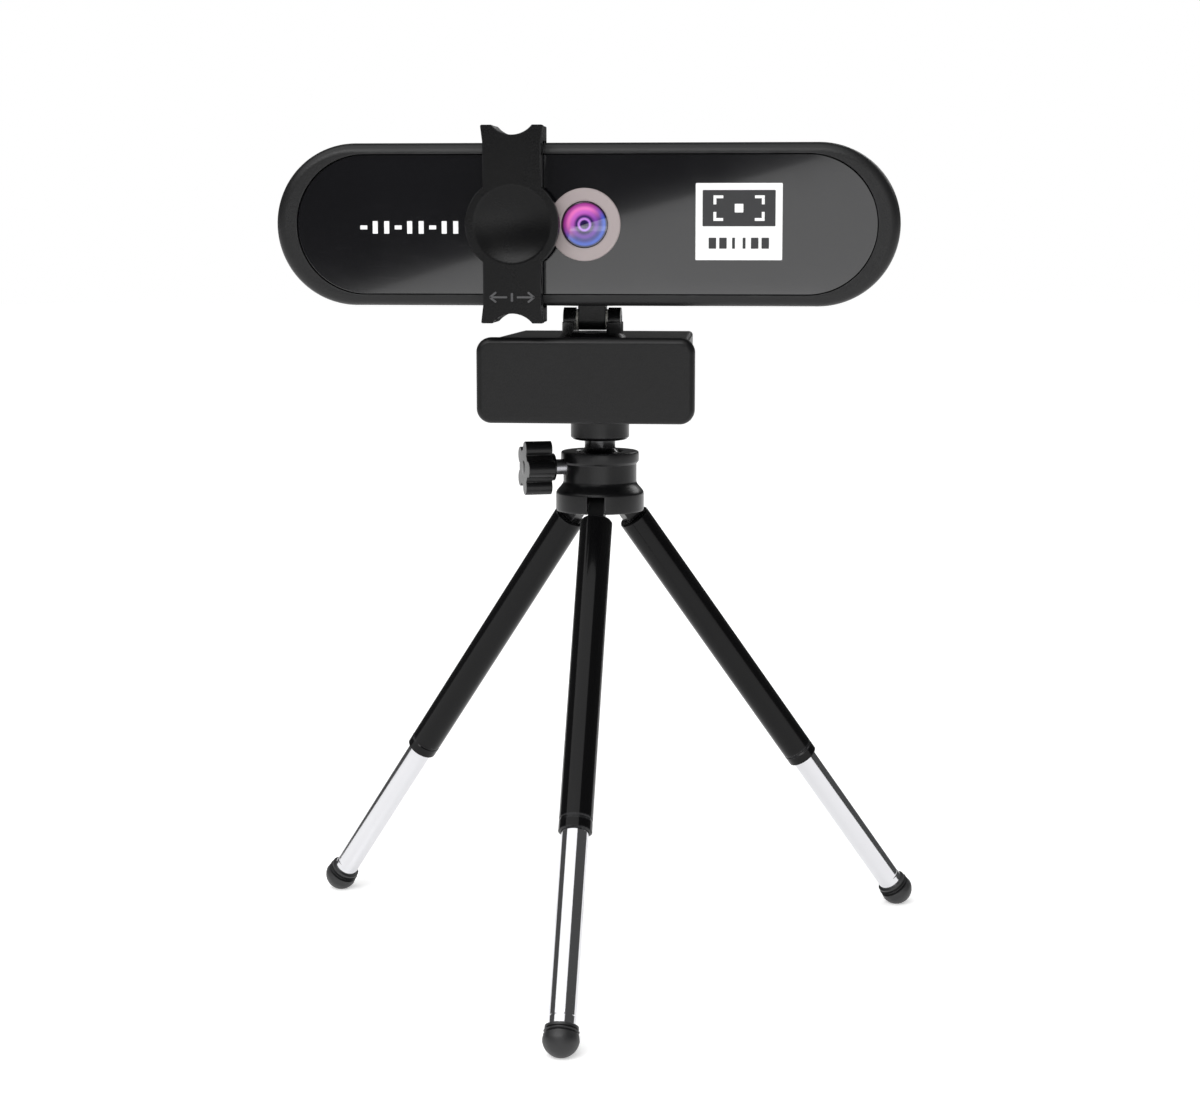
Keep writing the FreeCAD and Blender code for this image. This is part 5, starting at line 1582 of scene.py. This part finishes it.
@dataclass
class LensCover:
    """The sliding cover: a dished disc on a strap with hollowed ends, and the hooked carriage."""

    width: float = 10.2 * MM
    disc: float = 8.25 * MM
    dish: float = 7.0 * MM
    dish_depth: float = 1.2 * MM
    roll: float = 0.5 * MM
    scallop: float = 4.6 * MM
    scallop_depth: float = 1.7 * MM
    flare: float = 1.07
    fillet: float = 1.6 * MM
    bends: tuple[float, ...] = (11.5 * MM, 14.0 * MM, -11.5 * MM, -14.0 * MM)
    arrow_level: float = -12.6 * MM

    def __post_init__(self) -> None:
        """Read the cover's own places from the frame."""
        face = Span.of("cover_face")
        self.centre = Vector((face.centre.x, face.high.y, face.centre.z))
        self.front = Span.of("cover_carriage").low.y - 1.8 * MM
        self.height = face.size.z

    def strap(self) -> Piece:
        """The strap with its flared ends, the disc, and the fillets where they meet.

        Returns:
            The strap, flat in front.
        """
        depth = self.centre.y - self.front
        strap = plate("cover_skin", self.width, self.height, depth, 0.25 * MM, self.centre, steps=3)
        for level in self.bends:
            edit(strap, "FACE")
            bpy.ops.mesh.select_all(action="SELECT")
            spot = (self.centre.x, 0, self.centre.z + level)
            bpy.ops.mesh.bisect(plane_co=spot, plane_no=(0, 0, 1), threshold=SHARP)
            leave_edit(strap)
        edit(strap, "VERT")
        limit = self.height / 2 - 1.0 * MM
        pick(strap, lambda vert: abs(vert.co.z - self.centre.z) > limit, "VERT")
        bpy.ops.transform.resize(value=(self.flare, 1, 1), center_override=self.centre)
        leave_edit(strap)
        back, front = self.centre.copy(), self.centre.copy()
        front.y = self.front
        carve(strap, "UNION", rod("disc", self.disc, back, front, 120))
        half = self.width / 2
        corner = math.sqrt(self.disc**2 - half**2)
        edit(strap, "EDGE")

        def meets(edge: bmesh.types.BMEdge) -> bool:
            """Whether an edge runs where the strap's side meets the disc.

            Args:
                edge: The edge.

            Returns:
                True if it does.
            """
            first, last = edge.verts[0].co - self.centre, edge.verts[1].co - self.centre
            along_y = abs(first.y - last.y) > depth * 0.9
            return along_y and abs(abs(first.x) - half) < 0.05 * MM and abs(abs(first.z) - corner) < 0.12 * MM

        pick(strap, meets, "EDGE")
        bpy.ops.mesh.bevel(offset=self.fillet, segments=7, affect="EDGES")
        return leave_edit(strap)

    def face(self) -> Piece:
        """The whole front layer, dished and with hollows for a finger at each end.

        Returns:
            The finished layer.
        """
        strap = self.strap()
        tools = []
        reach = self.height / 2 + self.scallop - self.scallop_depth
        for side in (-1, 1):
            spot = self.centre + Vector((0, 3 * MM, side * reach))
            tools.append(rod("hollow", self.scallop, spot, spot + Vector((0, -9 * MM, 0)), 96))
        carve(strap, "DIFFERENCE", *tools)
        sphere = self.dish**2 / (2 * self.dish_depth) + self.dish_depth / 2
        edge = self.dish - self.roll
        slope = math.asin(edge / sphere)
        arc = self.roll / math.sin(slope)
        depth = arc * (1 - math.cos(slope)) + sphere - math.sqrt(sphere**2 - edge**2)
        profile = []
        for step in range(11):
            radius = edge * step / 10
            profile.append((radius, sphere - depth - math.sqrt(sphere**2 - radius**2)))
        for step in range(3, -1, -1):
            turn = slope * step / 4
            profile.append((self.dish - arc * math.sin(turn), arc * (math.cos(turn) - 1)))
        profile += [(self.dish, 1 * MM), (0.0, 1 * MM)]
        cap = lathe("dish", profile, 120)
        spot = self.centre.copy()
        spot.y = self.front
        place(cap, along(spot, spot + Vector((0, -1, 0))))
        carve(strap, "DIFFERENCE", cap)
        edit(strap)
        leave_edit(strap, 0.05 * MM)
        return soften(strap, 0.25 * MM, 3, 38)

    def arrows(self) -> Piece:
        """The raised double arrow with a short bar between its halves, near the lower end.

        Returns:
            The arrow and the bar as one piece.
        """
        z = self.centre.z + self.arrow_level
        depth, back = 0.24 * MM, self.front + 0.12 * MM
        parts = []
        for side in (-1, 1):
            x = self.centre.x + side * 2.2 * MM
            parts.append(plate("shaft", 2.7 * MM, 0.34 * MM, depth, 0.1 * MM, (x, back, z), steps=3))
            tip = self.centre.x + side * 3.9 * MM
            for turn in (-1, 1):
                barb = plate("barb", 1.5 * MM, 0.34 * MM, depth, 0.1 * MM, (0, 0, 0), steps=3)
                slope = Matrix.Rotation(side * turn * math.radians(38), 4, "Y")
                shift = Matrix.Translation((-side * (0.66 + 0.01 * turn) * MM, 0, 0))
                parts.append(place(barb, Matrix.Translation((tip, back, z)) @ slope @ shift))
        parts.append(plate("bar", 0.4 * MM, 1.5 * MM, depth, 0.1 * MM, (self.centre.x, back, z), steps=3))
        return together("cover_arrows", parts)

    def build(self) -> None:
        """Build and dress the cover."""
        dress(self.face(), COVER, "cover_plastic", "lens_cover", "cover_face")
        dress(self.arrows(), RELIEF, "cover_plastic", "lens_cover")
        hooked = copy_of("cover_carriage", "carriage_skin", 0.22 * MM, 2)
        dress(hooked, CARRIAGE, "cover_plastic", "lens_cover", "cover_carriage")


# Studio --------------------------------------------------------------------------------------


@dataclass
class Studio:
    """The pale floor, the soft lights and the camera."""

    eye: tuple[float, float, float] = (0.045, -0.458, 0.1376)
    aim: tuple[float, float, float] = (0.0, 0.0, 0.0755)
    lens: float = 73.5
    sensor: float = 36.0

    def floor(self) -> None:
        """Lay a wide pale floor."""
        clear_selection()
        bpy.ops.mesh.primitive_circle_add(vertices=96, radius=4.0, fill_type="NGON")
        floor = newest("floor")
        material = bpy.data.materials.new("floor_paper")
        material.use_nodes = True
        feed(
            material.node_tree.nodes["Principled BSDF"],
            Base_Color=(0.92, 0.92, 0.92, 1),
            Roughness=0.8,
            Specular_IOR_Level=0.2,
            Emission_Color=(1, 1, 1, 1),
            Emission_Strength=0.46,
        )
        floor.data.materials.append(material)

    def light(
        self,
        name: str,
        power: float,
        size: tuple[float, float],
        spot: Sequence[float],
        target: Sequence[float],
        turn: float = 0.0,
    ) -> bpy.types.Object:
        """Hang a rectangular soft light.

        Args:
            name: Its name.
            power: Its power in watts.
            size: Its width and height.
            spot: Where it hangs.
            target: What it looks at.
            turn: How far it is turned about its own line of sight.

        Returns:
            The light.
        """
        lamp = bpy.data.lights.new(name, "AREA")
        lamp.shape = "RECTANGLE"
        lamp.size, lamp.size_y = size
        lamp.energy = power
        holder = bpy.data.objects.new(name, lamp)
        bpy.context.scene.collection.objects.link(holder)
        holder.location = spot
        way = Vector(target) - Vector(spot)
        aimed = way.to_track_quat("-Z", "Y").to_matrix() @ Matrix.Rotation(turn, 3, "Z")
        holder.rotation_euler = aimed.to_euler()
        return holder

    def sky(self, strength: float) -> None:
        """Hang a wide, even light over the whole floor.

        Args:
            strength: Its strength.
        """
        lamp = bpy.data.lights.new("sky", "SUN")
        lamp.angle = math.radians(80)
        lamp.energy = strength
        holder = bpy.data.objects.new("sky", lamp)
        bpy.context.scene.collection.objects.link(holder)
        holder.rotation_euler = (math.radians(22), math.radians(-18), 0)

    def world(self) -> None:
        """A white surround that the camera sees, and a dim one that lights and reflects."""
        scene = bpy.context.scene
        scene.world = bpy.data.worlds.new("studio")
        scene.world.use_nodes = True
        tree = scene.world.node_tree
        white = (1, 1, 1, 1)
        seen = feed(tree.nodes["Background"], Color=white, Strength=1.0)
        dim = feed(add_node(tree, "Background"), Color=white, Strength=0.09)
        mix = add_node(tree, "MixShader")
        path = add_node(tree, "LightPath")
        tree.links.new(path.outputs["Is Camera Ray"], mix.inputs["Fac"])
        tree.links.new(dim.outputs["Background"], mix.inputs[1])
        tree.links.new(seen.outputs["Background"], mix.inputs[2])
        tree.links.new(mix.outputs["Shader"], tree.nodes["World Output"].inputs["Surface"])

    def camera(self) -> None:
        """Set the camera at its angle."""
        data = bpy.data.cameras.new("view")
        data.lens = self.lens
        data.sensor_width = self.sensor
        data.clip_start = 0.01
        holder = bpy.data.objects.new("view", data)
        bpy.context.scene.collection.objects.link(holder)
        holder.location = self.eye
        way = Vector(self.aim) - Vector(self.eye)
        holder.rotation_euler = way.to_track_quat("-Z", "Y").to_euler()
        bpy.context.scene.camera = holder

    def build(self) -> None:
        """Set up the whole studio."""
        scene = bpy.context.scene
        scene.view_settings.view_transform = "Standard"
        self.floor()
        self.world()
        middle = (0, 0, 0.09)
        self.sky(1.9)
        self.light("key", 4.0, (0.8, 0.35), (-0.2, -0.8, 0.75), middle)
        self.light("rim", 2.5, (0.9, 0.3), (0.5, 0.8, 0.6), middle)
        self.light("screen", 1.6, (1.0, 0.3), (0.044, -1.0, 0.0246), (0.044, 0.0, 0.0246), math.radians(17))
        self.camera()


def main() -> None:
    """Build every sub-assembly in order."""
    logging.basicConfig(level=logging.INFO, format="%(name)s: %(message)s")
    make_grain()
    make_wear()
    make_smudges()
    for part in (Studio(), Leg(), TripodHead(), Clip(), Neck(), Camera(), LensCover()):
        LOG.info("building %s", type(part).__name__)
        part.build()


if __name__ == "__main__":
    main()
